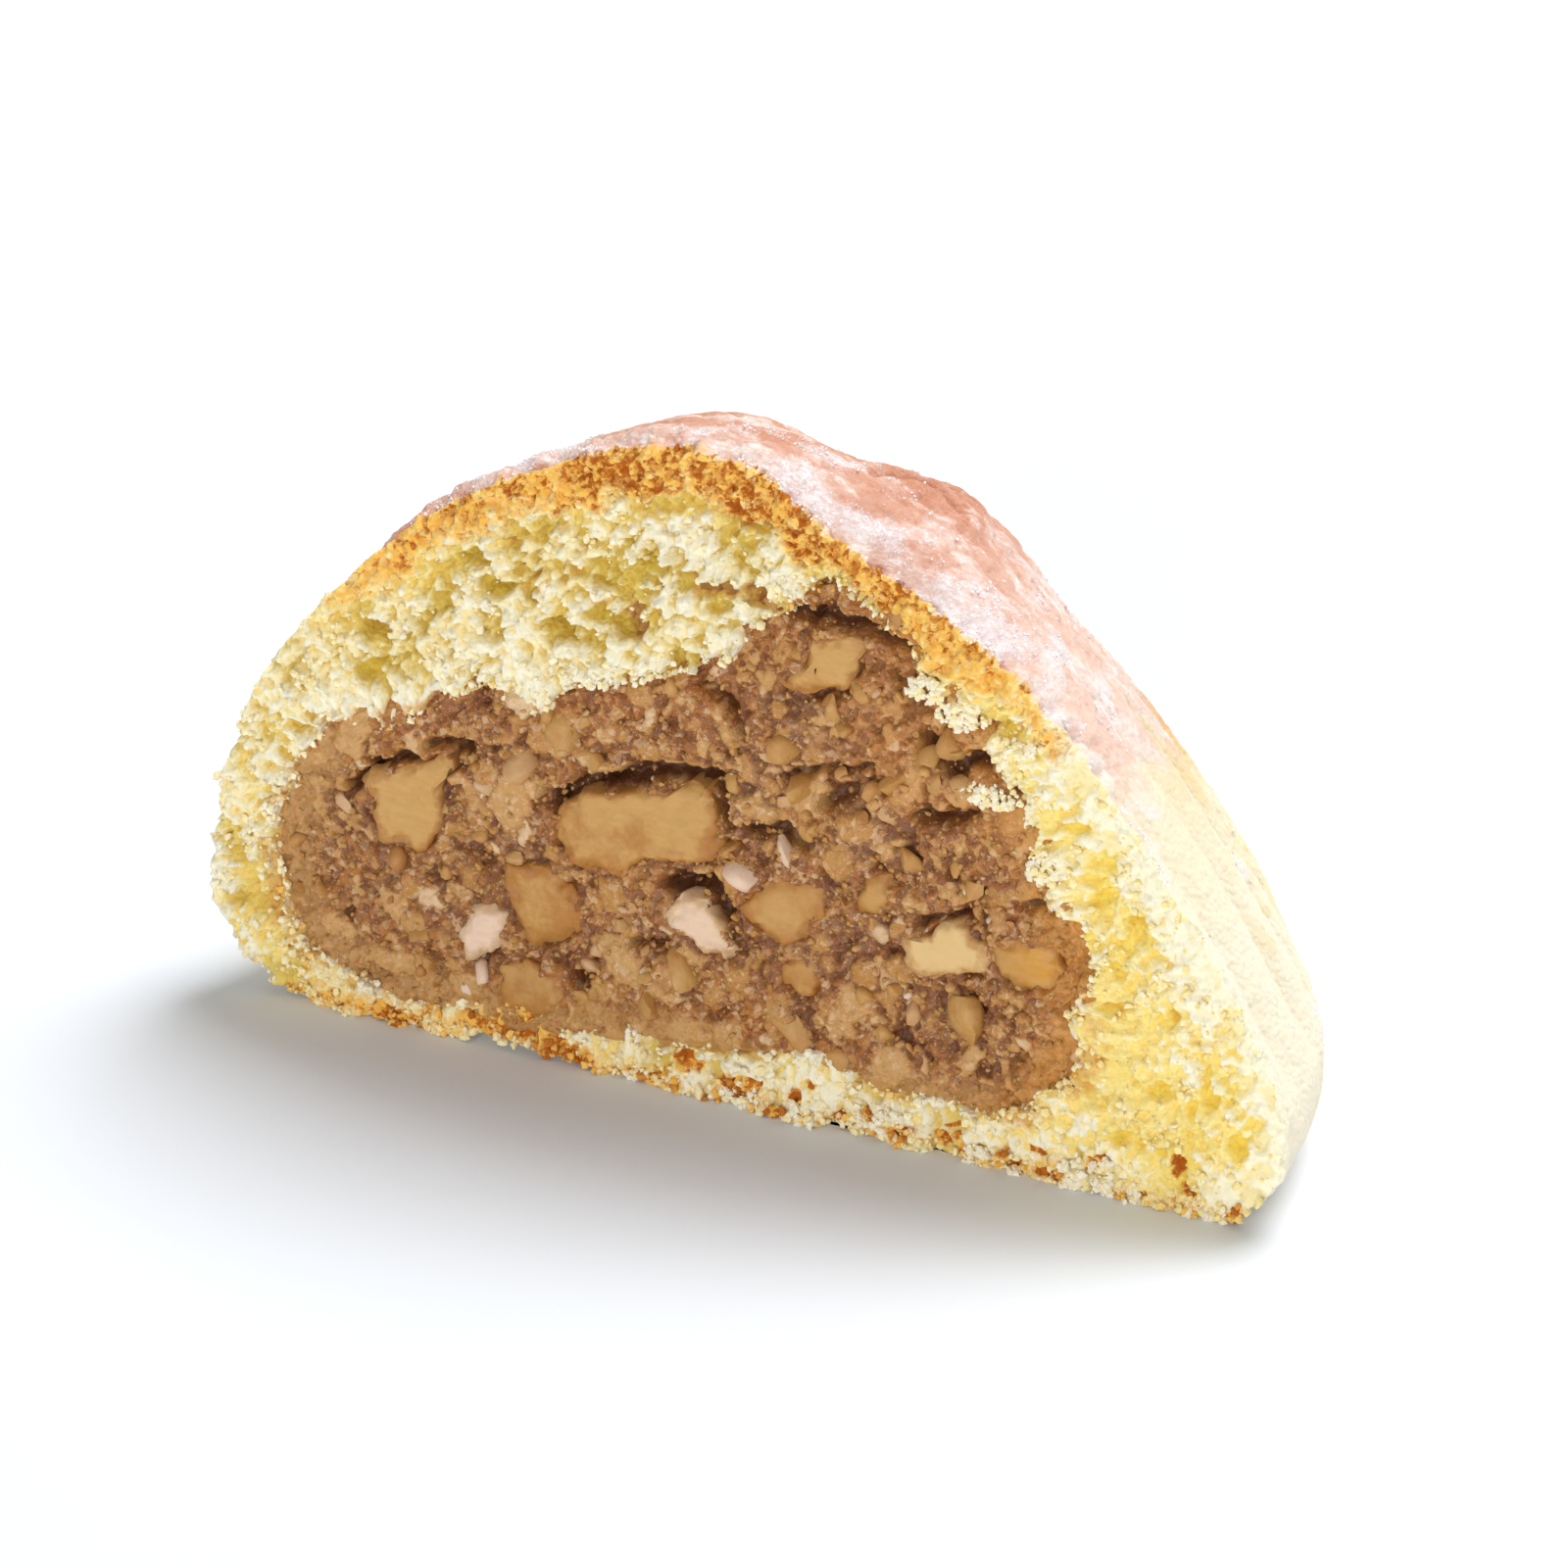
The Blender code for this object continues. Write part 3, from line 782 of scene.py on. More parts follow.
    # Painted shade in the grooves between the ribs
    groove = (look.share("groove") + (speck - 0.5) * 0.5).between(0.1, 0.8)
    outside = look.mix(groove * height.between(25, 16) * 0.6, outside, settings.groove)
    foot = height + (fine - 0.5) * 2.0 + (patch - 0.5) * 3.0
    outside = look.mix(foot.between(4.5, 0.8) * (golden * 0.6), outside, settings.foot)
    drift = look.share("sugar") + (fine - 0.5) * 0.9 + (speck - 0.5) * 0.9
    drift = drift + (swirl - 0.5) * (1.6 - behind * 1.6) + (grit - 0.5) * behind * 0.4
    outside = look.mix(drift.between(0.25, 1.0) * 0.85, outside, settings.sugar)
    wisp = look.noise(look.stretched(place, (0.5, 1.4, 1.6)), 1.7, 5, 0.7)
    wisp = wisp.between(0.44, 0.50) * wisp.between(0.57, 0.50) * rise.between(17, 21)
    outside = look.mix(wisp * (0.25 + west * 0.35) * (1 - behind * 0.6), outside, settings.wisp)
    dusted = own.between(0.80, 0.92) * behind * rise.between(4, 9) * 0.4
    outside = look.mix(dusted, outside, settings.sugar)

    colour = look.mix(look.share("cut"), outside, cut_colour)
    grain = look.cells(place, 3.2)
    normal = look.bump(grain * -0.8 + fine * 0.6, 0.5, 0.0002)
    return look.wire(Base_Color=colour, Roughness=0.78 + fine * 0.18, Normal=normal)


def places_on_dough(obj, outline):
    """What each point of the dough is near, before anything moves: x and z across the cut and rim, the
    distance to the cut's browned edge, are in millimetres, the rest is in metres."""
    at = SimpleNamespace(points=points_of(obj), normals=normals_of(obj))
    at.from_cut = at.points[:, 1] - CUT_Y
    at.nearest, at.wall = nearest_on(at.points, "filling")
    at.cut = 1 - ramp(0.08 * MM, 0.38 * MM, at.from_cut)
    at.cavity = (1 - ramp(0.45 * MM, 0.9 * MM, at.wall)) * (1 - at.cut)
    at.outside = (1 - at.cut) * (1 - at.cavity)
    at.above = ramp(0.0, 0.5 * MM, at.points[:, 2])
    at.flat = on_the_cut(at.points)
    at.x, at.z = (at.flat / MM).T
    at.rim = np.full(len(at.points), FAR)
    front = at.from_cut < 3 * MM
    plane = at.points[front].copy()
    plane[:, 1] = CUT_Y
    at.rim[front] = distance_to(plane, outline) / MM
    return at


def crumble(at, grain_size):
    """Grains and clumps with pits, gaps and seams between them, calmer towards the right end."""
    loose = wobbled(at.flat, 0.5 * MM, 0.16 * MM, 5)
    clump, _ = domes(loose, 1.8 * MM, 11, 0.45, 0.85, 0.6)
    rough = clouds(loose, 1.1 * MM, 15, 4) - 0.5
    grain, at.own = domes(loose, grain_size, 21, 0.38, 0.72, 0.6)
    small, _ = domes(loose, grain_size * 0.5, 31, 0.35, 0.7, 0.5)
    layers = clump, rough, grain, small

    # What lies where on the cut
    at.pit = spots_at(wobbled(at.flat, 0.8 * MM, 0.5 * MM, 37), PITS)
    at.stained = spots_at(wobbled(at.flat, 0.8 * MM, 0.4 * MM, 39), STAINS)
    at.scorched = spots_at(wobbled(at.flat, 0.6 * MM, 0.2 * MM, 53), SCORCHED)
    at.gap = ramp(0.55, 0.67, clouds(loose, 1.5 * MM, 41))
    places, thicknesses, darknesses = np.array(BROWNING).T
    at.thickness = np.interp(at.x, places, thicknesses)
    at.darkness = np.interp(at.x, places, darknesses)
    at.ragged = (clouds(loose, 1.3 * MM, 45) - 0.5) * 1.8
    at.crust = 1 - ramp(at.thickness - 0.6, at.thickness + 0.5, at.rim + at.ragged)
    at.right_end = ramp(12, 17, at.x) * (1 - ramp(0.4, 3.2, at.rim))
    seam = np.abs(clouds(loose, 2.2 * MM, 59) - 0.5) / 0.030
    seam = (1 - ramp(0.0, 1.0, seam)) * ramp(0.42, 0.55, clouds(at.flat, 3.5 * MM, 63, 2))
    at.seam = seam * (1 - at.crust) * (ramp(15, 17, at.z) * ramp(14, 8, at.x))

    # How far the cut stands out there
    calm = (1 - 0.35 * ramp(6, 18, at.x)) * (1 - 0.6 * at.right_end)
    calm *= 1 - 0.40 * (1 - ramp(1, 4, at.z))
    height = (piled(CRUMB_HEIGHTS, layers) - 0.05) * calm
    height = height - 0.55 * at.gap * (1 - at.crust) * calm - 0.8 * at.pit * calm - 0.6 * at.stained
    height -= 0.25 * at.scorched + 0.45 * at.seam
    height = np.where(at.crust > 0.5, piled(CRUST_HEIGHTS, layers), height)
    at.relief = np.clip(0.5 + height, -0.3, 1.3)
    at.points[:, 1] -= at.cut * (height + 0.05) * MM


def break_edges(at):
    """Breaks the crust's edge away to the right of the top, and pulls tongues of dough over the edge of
    the filling."""
    lost = np.interp(at.x, *zip(*CHIPPED)) * MM
    heart = np.array([3, 0, 10]) * MM
    inward = (heart - at.points) * np.array([1, 0, 1])
    inward /= np.linalg.norm(inward, axis=1)[:, None]
    lost *= (1 - ramp(0.0, 2.6 * MM, at.from_cut)) * (1 - ramp(0.0, 3.5, at.rim)) * (at.rim < FAR)
    at.points += inward * lost[:, None]
    toward = at.nearest - at.points
    toward[:, 1] = 0
    toward /= np.maximum(np.linalg.norm(toward, axis=1), 0.01 * MM)[:, None]
    near = (1 - ramp(0.3 * MM, 2.4 * MM, at.wall)) * (1 - ramp(0.4 * MM, 1.4 * MM, at.from_cut))
    reach = np.clip((clouds(at.flat, 2.6 * MM, 47) - 0.38) * 3.2 * MM, 0.05 * MM, 1.3 * MM)
    at.points += toward * (near * reach)[:, None]


def lift_skin(at, crest, groove):
    """Grains the skin, chips it where the knife broke it, and makes the grooves, the fold and the hollow."""
    points = at.points
    skin, _ = domes(points, 0.7 * MM, 51, 0.4, 0.8, 0.5)
    broken = (1 - ramp(0.2 * MM, 1.8 * MM, at.from_cut)) * (at.cut + at.outside > 0.5)
    chips = (clouds(points, 0.8 * MM, 61, 4) - 0.52) * 1.7
    chips = (chips + (clouds(points, 2.2 * MM, 65, 2) - 0.5) * 1.3) * broken
    at_rim = np.where(at.from_cut < 0.5 * MM, 1 - ramp(0.2, 0.9, at.rim), 1.0)
    smooth = 1 - 0.6 * ramp(12, 16, points[:, 0] / MM) * (1 - ramp(17, 20, points[:, 2] / MM))
    lift = (skin * 0.16 * smooth + chips * at_rim * smooth) * at.outside * at.above * MM
    near_cut = ramp(0.3 * MM, 1.2 * MM, at.from_cut) * (1 - ramp(2 * MM, 9 * MM, at.from_cut))
    lift += near_cut * at.outside * ramp(19 * MM, 25 * MM, points[:, 2]) * 0.45 * MM
    behind = ramp(4 * MM, 14 * MM, at.from_cut)
    lift -= (crest * 0.07 * (1 - behind) + groove * 0.25 * behind) * at.outside * at.above * MM
    plan = points[:, :2]
    line = straight_sides(FOLD)[:-SIDE_STEPS]
    at.fold = np.min([np.linalg.norm(plan - spot, axis=1) for spot in line], axis=0) / MM
    at.top = ramp(22 * MM, 26 * MM, points[:, 2]) * at.outside
    lift += (0.32 * bell(at.fold, 0.55, 0.45) - 0.28 * bell(at.fold, 0, 0.28)) * at.top * MM
    lift -= 0.55 * bell(np.linalg.norm(plan / MM - HOLLOW, axis=1), 0, 2.4) * at.top * MM
    points += at.normals * lift[:, None]
    points[:, 2] = np.maximum(points[:, 2], 0)


def sugar_and_blush(at, crest):
    """Where icing sugar lies on what faces up, and where the top is browner, with painted highlight and
    shade along the fold.
    """
    points, up = at.points, at.points[:, 2] / MM
    sifted = ramp(0.05, 0.75, at.normals[:, 2]) * ramp(9 * MM, 24 * MM, points[:, 2])
    drawn = points * np.array([0.45, 1.0, 0.8])
    streaks = clouds(wobbled(drawn, 1.6 * MM, 0.9 * MM, 75), 1.1 * MM, 71, 5)
    sugar = sifted * 0.40 + (streaks - 0.5) * 2.6 * ramp(0.1, 0.5, sifted)
    sugar += (clouds(points, 7 * MM, 77, 2) - 0.5) * 0.7 * ramp(0.1, 0.5, sifted)
    sugar += 0.2 * (1 - ramp(0.8 * MM, 2.2 * MM, at.from_cut)) * ramp(0.2, 0.5, sifted)
    foot = (1 - ramp(1 * MM, 6 * MM, points[:, 2])) * clouds(points, 3 * MM, 73)
    blush = np.zeros(len(points))
    for x, y, z, width, much in BLUSHES:
        away = np.linalg.norm(points / MM - (x, y, z), axis=1)
        blush = np.maximum(blush, much * bell(away, 0, width))
    sugar -= blush * 0.5
    # The fold: paler on its ridge with sugar colour as painted highlight, darker in its trench as painted
    # shade
    sugar += 0.3 * bell(at.fold, 0.6, 0.4) * at.top
    blush = np.maximum(blush, 0.9 * bell(at.fold, 0, 0.35) * at.top)

    # On the back the sugar lies in clots on the crown, in lines on the ribs and in drifts below
    clots = clouds(points, 1.6 * MM, 171, 4) + (clouds(points, 6 * MM, 175, 2) - 0.5) * 0.5
    lines = ramp(0.4, 1.1, crest) * ramp(10, 15, up) * (1 - ramp(22, 26, up))
    ledge = bell(up, 5.5, 1.8) * clouds(points, 2.5 * MM, 177)
    dusted = (clots - 0.5) * 3.2 + 0.6 * ramp(15, 25, up) - 0.3 + 0.45 * lines + 0.8 * ledge
    back = ramp(5 * MM, 11 * MM, at.from_cut)
    sugar = sugar * (1 - back) + dusted * back
    return {"sugar": np.clip(sugar + foot * 0.5, -0.5, 1.2), "blush": blush}


def browning(at):
    """How golden and how brown the crust and the bottom of the cut are."""
    grain_step = (at.own - 0.5) * 0.5
    bottom = 1 - ramp(0.5, 1.5, at.z + at.ragged * 0.7)
    bottom *= 0.5 + 0.5 * ramp(-1, -7, at.x)
    baked = at.crust * ramp(0.0, 0.5, at.darkness)
    underside = (1 - ramp(0.2, 0.8, at.z + at.ragged * 0.3)) * 0.5
    patchy = ramp(0.35, 0.65, clouds(at.points, 2.2 * MM, 67))
    gold = np.maximum(baked * (0.85 + grain_step), bottom * (0.55 + 0.5 * patchy + grain_step))
    gold = np.maximum(gold, at.scorched * (0.5 + clouds(at.flat, 0.7 * MM, 57)))
    brown = baked * (at.darkness * 1.15 - 0.45 + grain_step * 0.5)
    brown = brown + bottom * (underside + 0.6 * patchy - 0.5)
    brown = np.maximum(brown, at.scorched * 0.6 * clouds(at.flat, 0.9 * MM, 55) * 1.6)
    return {"gold": gold, "brown": brown}


def crumb_tones(at):
    """Where the crumb is yellow, pale, or stained by the filling."""
    x, z = at.x, at.z
    straw = 1.0 - 0.5 * ramp(20.5, 23.5, x) * ramp(2, 6, z)
    straw *= ramp(5, 16, x) * (1 - 0.35 * ramp(9, 12, z))
    straw += 0.45 * (1 - ramp(4, 14, z))
    straw += 0.3 * ramp(-17, -23, x) * ramp(-26.5, -25, x)
    along_crust = 1 - ramp(0.2, 1.6, at.rim - at.thickness)
    # At the right end, where the cut meets the side, the crumb is painted white instead of straw: painted
    # highlight
    straw += 0.6 * along_crust * (at.darkness > 0.2) - at.right_end * 0.8
    over = ramp(-0.4, 0.4, at.points[:, 2] / MM - at.nearest[:, 2] / MM)
    pale = (1 - ramp(0.4 * MM, 2.0 * MM, at.wall)) * over * 0.7 + 2 * at.right_end
    pale += 1.3 * (1 - ramp(1.6, 3.0, z + at.ragged * 0.4)) * ramp(-7, -3, x)
    pale += 0.9 * ramp(-18, -21, x) * (1 - ramp(5, 9, z)) * (1 - ramp(0.6, 1.8, at.rim))
    pale = np.maximum(pale, spots_at(wobbled(at.flat, 1.0 * MM, 0.5 * MM, 85), WHITE_CRUMB) * 1.35)
    ends = ramp(-14, -20, x) + ramp(12, 15, x) * (1 - ramp(8, 12, z))
    seeped = 1 - ramp(0.0, 1.2 + 1.4 * ends, at.wall / MM)
    under = 1 - ramp(3, 6, z)
    stain = seeped * (1 - over * 0.7) * (clouds(at.flat, 1.4 * MM, 79) * (2.0 - under) + 0.35 * under)
    stain = np.maximum(stain, np.maximum(at.stained * 1.7, at.cavity * 0.9))
    # The seams in the crumb are darkened with the stain colour too
    return {"straw": straw, "pale": pale, "stain": np.maximum(stain, at.seam * 0.75)}


class MAAMOUL_OT_dough(bpy.types.Operator):
    """Adds the dough: a crumbly cut, a browned top and a fluted, sugared back"""

    bl_idname = "maamoul.dough"
    bl_label = "Dough"

    def execute(self, context):
        settings = context.scene.maamoul_dough
        obj = merged_copy("dough", "dough_baked")
        outline = self.browned_edge(obj)
        applied(obj, "REMESH", mode="VOXEL", voxel_size=settings.detail)
        crest = self.crest_of(obj)
        set_shares(obj, crest=crest, groove=-blurred(obj, crest, 25))
        divided(obj, 0.3 * MM, 1)
        self.thin_where_hidden(obj)
        self.shape(obj, settings, outline)
        thinned(obj, points_of(obj)[:, 1] > CUT_Y + 5 * MM, left=0.4)
        finish_piece(obj, dough_look(settings), "dough", "dough")
        return {"FINISHED"}

    @staticmethod
    def browned_edge(obj):
        """The cut's outer edge, without its bottom and without the edge round the filling."""
        outline = cut_outline(obj)
        _, wall = nearest_on(outline, "filling")
        return outline[(wall > 0.8 * MM) & (outline[:, 2] > 0.6 * MM)]

    @staticmethod
    def crest_of(obj):
        """How far each point stands over the smoothed surface: ribs are above 0, grooves below."""
        smooth = obj.copy()
        smooth.data = obj.data.copy()
        bpy.context.scene.collection.objects.link(smooth)
        applied(smooth, "SMOOTH", factor=0.5, iterations=120)
        crest = ((points_of(obj) - points_of(smooth)) * normals_of(obj)).sum(axis=1)
        bpy.data.objects.remove(smooth, do_unlink=True)
        return np.clip((crest - np.median(crest)) / (0.12 * MM), -1.5, 1.5)

    @staticmethod
    def thin_where_hidden(obj):
        """Thins the bottom, and the cavity's wall behind the filling."""
        points = points_of(obj)
        _, wall = nearest_on(points, "filling")
        deep = points[:, 1] > CUT_Y + 2.5 * MM
        under = (points[:, 2] < 0.02 * MM) & (points[:, 1] > CUT_Y + 1.0 * MM)
        thinned(obj, ((wall < 0.6 * MM) & deep) | under)

    @staticmethod
    def shape(obj, settings, outline):
        """Moves the points of the dough, and stores on them what the material reads."""
        at = places_on_dough(obj, outline)
        crest, groove = shares_of(obj, "crest"), shares_of(obj, "groove")
        crumble(at, settings.grain)
        break_edges(at)
        lift_skin(at, crest, groove)
        move_points(obj, at.points)
        fluted = ramp(2.0 * MM, 12.0 * MM, at.from_cut)
        set_shares(
            obj, crest=crest * fluted, groove=groove * fluted, cut=np.maximum(at.cut, at.cavity),
            relief=at.relief, golden=0.1 + 0.9 * fluted, tint=at.own, wall=at.wall / MM, rim=at.rim,
            # Painted shade: the pits and the gaps between clumps are marked for the pit colour
            pit=np.maximum(at.pit, at.gap * (1 - at.crust) * 0.5) * at.cut,
            **sugar_and_blush(at, crest), **browning(at), **crumb_tones(at),
        )


# ---------------------------------------------------------------- the filling


class MaamoulFilling(bpy.types.PropertyGroup):
    """The paste of ground nuts and sugar."""

    paste: colour_property("Paste", "The paste where it catches the light", (0.44, 0.175, 0.030))
    # Painted shade in the paste's cracks and hollows
    crack_shade: colour_property("Dark", "The paste in its cracks", (0.10, 0.03, 0.008))
    rust: colour_property("Rust", "The redder paste near the dough", (0.42, 0.14, 0.020))
    dull: colour_property("Dull", "The greyer paste further in", (0.37, 0.185, 0.085))
    dark_grains: colour_property("Dark grains", "The darker grains of the paste", (0.25, 0.085, 0.030))
    # Partly painted highlight: the material lays it only on raised grains
    grain_highlight: colour_property("Light grains", "The lighter grains of the paste", (0.60, 0.33, 0.12))
    bits: colour_property("Nut bits", "Chopped nuts smeared with paste", (0.52, 0.255, 0.060))
    tan_bits: colour_property("Tan bits", "Paler chopped nuts", (0.62, 0.35, 0.12))
    pale_bits: colour_property("Pale bits", "The palest chopped nuts", (0.74, 0.51, 0.29))
    # Partly painted highlight: the material lays these specks only on raised grains
    bright: colour_property("Bright specks", "Specks of ground nut", (0.74, 0.50, 0.28))
    black: colour_property("Dark specks", "Specks of nut skin", (0.20, 0.06, 0.02))
    # Partly painted highlight: the material lays these flecks only on raised places
    fleck_and_glint: colour_property("Flecks", "Grains of sugar in the paste", (0.85, 0.65, 0.46))
    moist: colour_property("Moist", "Moist paste near the bottom", (0.60, 0.335, 0.110))
    amber: colour_property("Amber", "Moist paste at the right end", (0.62, 0.28, 0.050))
    glow: colour_property("Glow", "Warmer paste at the upper right", (0.64, 0.28, 0.07))
    grain: length_property("Grain", "The size of a grain in the paste", 0.42 * MM)
    detail: length_property("Detail", "The mesh's spacing", 0.27 * MM)


# Cracks in the filling's cut, sunk and painted with shade: points (x, z) in millimetres, then how wide and
# how deep
CRACKS = (
    (((-9.3, 12.8), (-7.8, 13.8), (-5.9, 14.3), (-4.6, 15.0), (-2.8, 15.5), (-1.5, 15.5)), 0.42, 1.5),
    (((-1.5, 15.5), (-0.9, 14.6), (-0.8, 13.6)), 0.26, 1.1),
    (((-1.5, 12.5), (-0.3, 12.6)), 0.22, 0.9),
    (((-19.4, 11.2), (-18.2, 12.6), (-17.0, 13.2), (-16.3, 13.2)), 0.30, 1.2),
    (((-15.5, 13.9), (-14.7, 14.3), (-13.8, 14.2)), 0.22, 1.0),
    (((-3.7, 9.7), (-2.6, 10.0), (-1.7, 10.3), (-1.0, 9.7), (-0.7, 9.1)), 0.46, 1.4),
    (((-0.5, 8.4), (-0.2, 8.0)), 0.22, 0.9),
    (((-14.2, 9.6), (-13.2, 9.2), (-12.2, 8.6)), 0.50, 0.6),
    (((-8.1, 4.9), (-8.2, 4.1)), 0.34, 1.0),
    (((-5.5, 6.8), (-4.6, 6.9), (-3.9, 6.5)), 0.20, 0.9),
    (((2.6, 16.7), (4.4, 17.2), (6.4, 17.7)), 0.22, 0.9),
    (((4.4, 15.6), (5.4, 16.4)), 0.45, 0.9),
    (((0.4, 13.5), (1.8, 13.8), (3.2, 13.4)), 0.36, 0.9),
    (((6.8, 13.2), (7.9, 12.4)), 0.24, 0.9),
    (((8.9, 10.7), (9.8, 11.5), (11.2, 11.6)), 0.26, 1.0),
    (((10.4, 8.8), (11.8, 9.0)), 0.22, 0.8),
    (((2.2, 24.3), (4.5, 24.5), (6.4, 24.3), (7.8, 23.9), (9.8, 22.9)), 0.40, 1.2),
    (((9.4, 19.4), (10.3, 18.3), (11.4, 19.3), (12.5, 19.3), (13.4, 18.6)), 0.50, 1.2),
    (((8.4, 15.8), (10.0, 16.2), (11.4, 16.6)), 0.24, 1.0),
    (((14.0, 12.9), (15.3, 13.2)), 0.30, 1.0),
    (((-1.9, 19.8), (-0.9, 19.2), (-0.1, 18.0)), 0.22, 0.9),
    (((2.2, 20.5), (3.8, 20.7), (5.2, 21.1)), 0.20, 0.8),
    (((7.4, 22.5), (8.1, 22.0), (8.3, 21.2)), 0.26, 0.8),
)


# Chopped nuts in the paste: size in millimetres, in what share of the places, how much stands over
# the paste as a share of the size, and the noise's seed
CHOPPED = ((0.7, 0.34, 0.50, 141), (1.2, 0.34, 0.50, 151), (1.9, 0.22, 0.42, 161))
# How high the clumps, roughness, grains and small grains of the paste stand, in millimetres
PASTE_HEIGHTS = (0.42, 0.62, 0.24, 0.12)


def crack_depth(flat):
    """How deep the cracks go at each place on the cut, in millimetres."""
    flat = wobbled(wobbled(flat, 1.1 * MM, 0.3 * MM, 71), 0.4 * MM, 0.14 * MM, 75) / MM
    depth = np.zeros(len(flat))
    for line, width, deep in CRACKS:
        away = np.full(len(flat), FAR)
        for start, end in zip(line, line[1:]):
            start, end = np.array(start), np.array(end)
            along = end - start
            share = np.clip(((flat - start) @ along) / (along @ along), 0, 1)
            away = np.minimum(away, np.linalg.norm(flat - start - share[:, None] * along, axis=1))
        depth = np.maximum(depth, deep * bell(away, 0, width))
    return depth


def filling_look(settings):
    look = Look(
        "nut filling", Roughness=0.5, Subsurface_Weight=0.3, Subsurface_Scale=0.0007,
        Specular_IOR_Level=0.5,
    )
    place = look.place()
    relief = look.share("relief")
    tint = look.share("tint")
    fine = look.noise(place, 3.6, 4)
    speck = look.noise(place, 8.0, 2)
    broad = look.noise(place, 0.30, 3)
    level = relief + (fine - 0.5) * 0.5
    # Painted shade: the lower the paste lies, the darker it is
    colour = look.mix(level.between(0.05, 0.85), settings.crack_shade, settings.paste)
    rust = look.share("rim") + (broad - 0.5) * 1.6 + (fine - 0.5) * 0.5
    colour = look.mix(rust.between(0.1, 0.9) * 0.75, colour, settings.rust)
    dull = broad.between(0.55, 0.35) * look.share("rim").between(0.3, 0.0)
    colour = look.mix(dull * 0.5, colour, settings.dull)
    bit = (look.share("bit") + (fine - 0.5) * 0.5).between(0.25, 0.8)
    colour = look.mix(tint.between(0.55, 0.05) * (1 - bit) * 0.55, colour, settings.dark_grains)
    # Lighter grains only on raised places: partly the grains' own tone, partly painted highlight
    light = tint.between(0.65, 0.95) * level.between(0.1, 0.7) * 0.6
    colour = look.mix(light, colour, settings.grain_highlight)
    kind = look.share("kind")
    tan = look.mix(kind.between(0.25, 0.75), settings.bits, settings.tan_bits)
    tan = look.mix(kind.between(0.86, 0.95), tan, settings.pale_bits)
    smeared = (broad - 0.5) * 2.0 + (fine - 0.5) * 1.6 + 0.45
    # Bits of nut are tannest on their crowns and fade into the paste at their edges: partly painted
    # highlight on the crown
    soft = (look.share("crown") + (fine - 0.5) * 0.6).between(0.1, 0.75)
    colour = look.mix(soft * smeared.between(1.6, 0.4), colour, tan)
    own = look.part(look.cells(place, 3.6, 1), 0)
    # Pale specks on raised grains: partly specks of ground nut, partly painted highlight
    bright = own.between(0.84, 0.95) * relief.between(0.2, 0.7) * 0.6
    colour = look.mix(bright, colour, settings.bright)
    colour = look.mix(own.between(0.20, 0.02) * (0.5 - bit * 0.4), colour, settings.black)
    # Pale flecks on raised places: partly grains in the paste, partly painted highlight
    fleck_and_glint = speck.between(0.60, 0.70) * relief.between(0.1, 0.6)
    colour = look.mix(fleck_and_glint * 0.5, colour, settings.fleck_and_glint)

    # Near the dough at the bottom and at both ends the paste is moist and amber
    along, height = look.part(place, 0), look.part(place, 2)
    ends = along.between(11.5, 15) + along.between(-17, -21)
    amber = ends + (height + (broad - 0.5) * 3).between(4.2, 2.8)
    amber = amber.clamped() * (look.share("rim") + (fine - 0.5) * 0.3).between(0.25, 0.49)
    moist = look.mix(along.between(9, 15), settings.moist, settings.amber)
    colour = look.mix(amber * 0.7, colour, moist)
    colour = look.mix(along.between(2, 9) * height.between(14, 18) * 0.35, colour, settings.glow)
    # Painted shade in the cracks
    colour = look.mix(look.share("crack").between(0.25, 1.1) * 0.95, colour, settings.crack_shade)
    normal = look.bump(fine + speck * 0.4, 0.6, 0.00018)
    return look.wire(Base_Color=colour, Roughness=0.34 + fine * 0.3, Normal=normal)


def inside_nuts(flat):
    """How far each place is inside the nearest nut's outline, in millimetres, below 0 outside."""
    inside = np.full(len(flat), -FAR)
    for nut in NUT_SHAPES.values():
        outline = straight_sides(nut.corners)
        middle = outline.mean(axis=0)
        direction, away = around(flat, middle)
        inside = np.maximum(inside, (reach_of(outline, middle, direction) - away) / MM)
    return inside


def lumpy_paste(flat, nut, grain_size):
    """The height of the paste in millimetres, and what the material reads: grains, and chopped bits of
    three sizes, each of its own tone."""
    loose = wobbled(flat, 0.6 * MM, 0.2 * MM, 81)
    grain, own = domes(loose, grain_size, 91, 0.35, 0.72, 0.6)
    small, _ = domes(loose, grain_size * 0.5, 101, 0.35, 0.7, 0.5)
    clump, _ = domes(loose, 1.5 * MM, 111, 0.4, 0.8, 0.6)
    rough = clouds(loose, 0.9 * MM, 105, 4) - 0.5
    height = piled(PASTE_HEIGHTS, (clump, rough, grain, small))
    bit, kind, crown = (np.zeros(len(flat)) for _ in range(3))
    for size, share, top, seed in CHOPPED:
        place = wobbled(wobbled(flat, 0.9 * MM, 0.3 * MM, seed), 0.35 * MM, 0.12 * MM, seed + 3)
        lump, tone = domes(place, size * MM, seed + 6, 0.25, 0.6, 0.3)
        mask = ramp(-0.04, 0.2, lump) * (tone < share) * ramp(0.9, 0.2, nut + 1.0)
        flush = np.minimum(lump, top) * min(size, 1.4) * 0.6 + 0.02
        flush = flush + 0.13 * grain + 0.07 * small + 0.2 * rough
        crown = np.maximum(crown * (1 - mask), mask * ramp(-0.1, 0.45, lump))
        height = height * (1 - mask) + np.maximum(flush, height * 0.4) * mask
        kind = np.where(mask > 0.02, np.where(mask > bit * 0.5, tone / share, kind), kind)
        bit = np.maximum(bit * (1 - mask * 0.6), mask)
    return height, {"tint": own, "bit": bit, "kind": kind, "crown": crown}


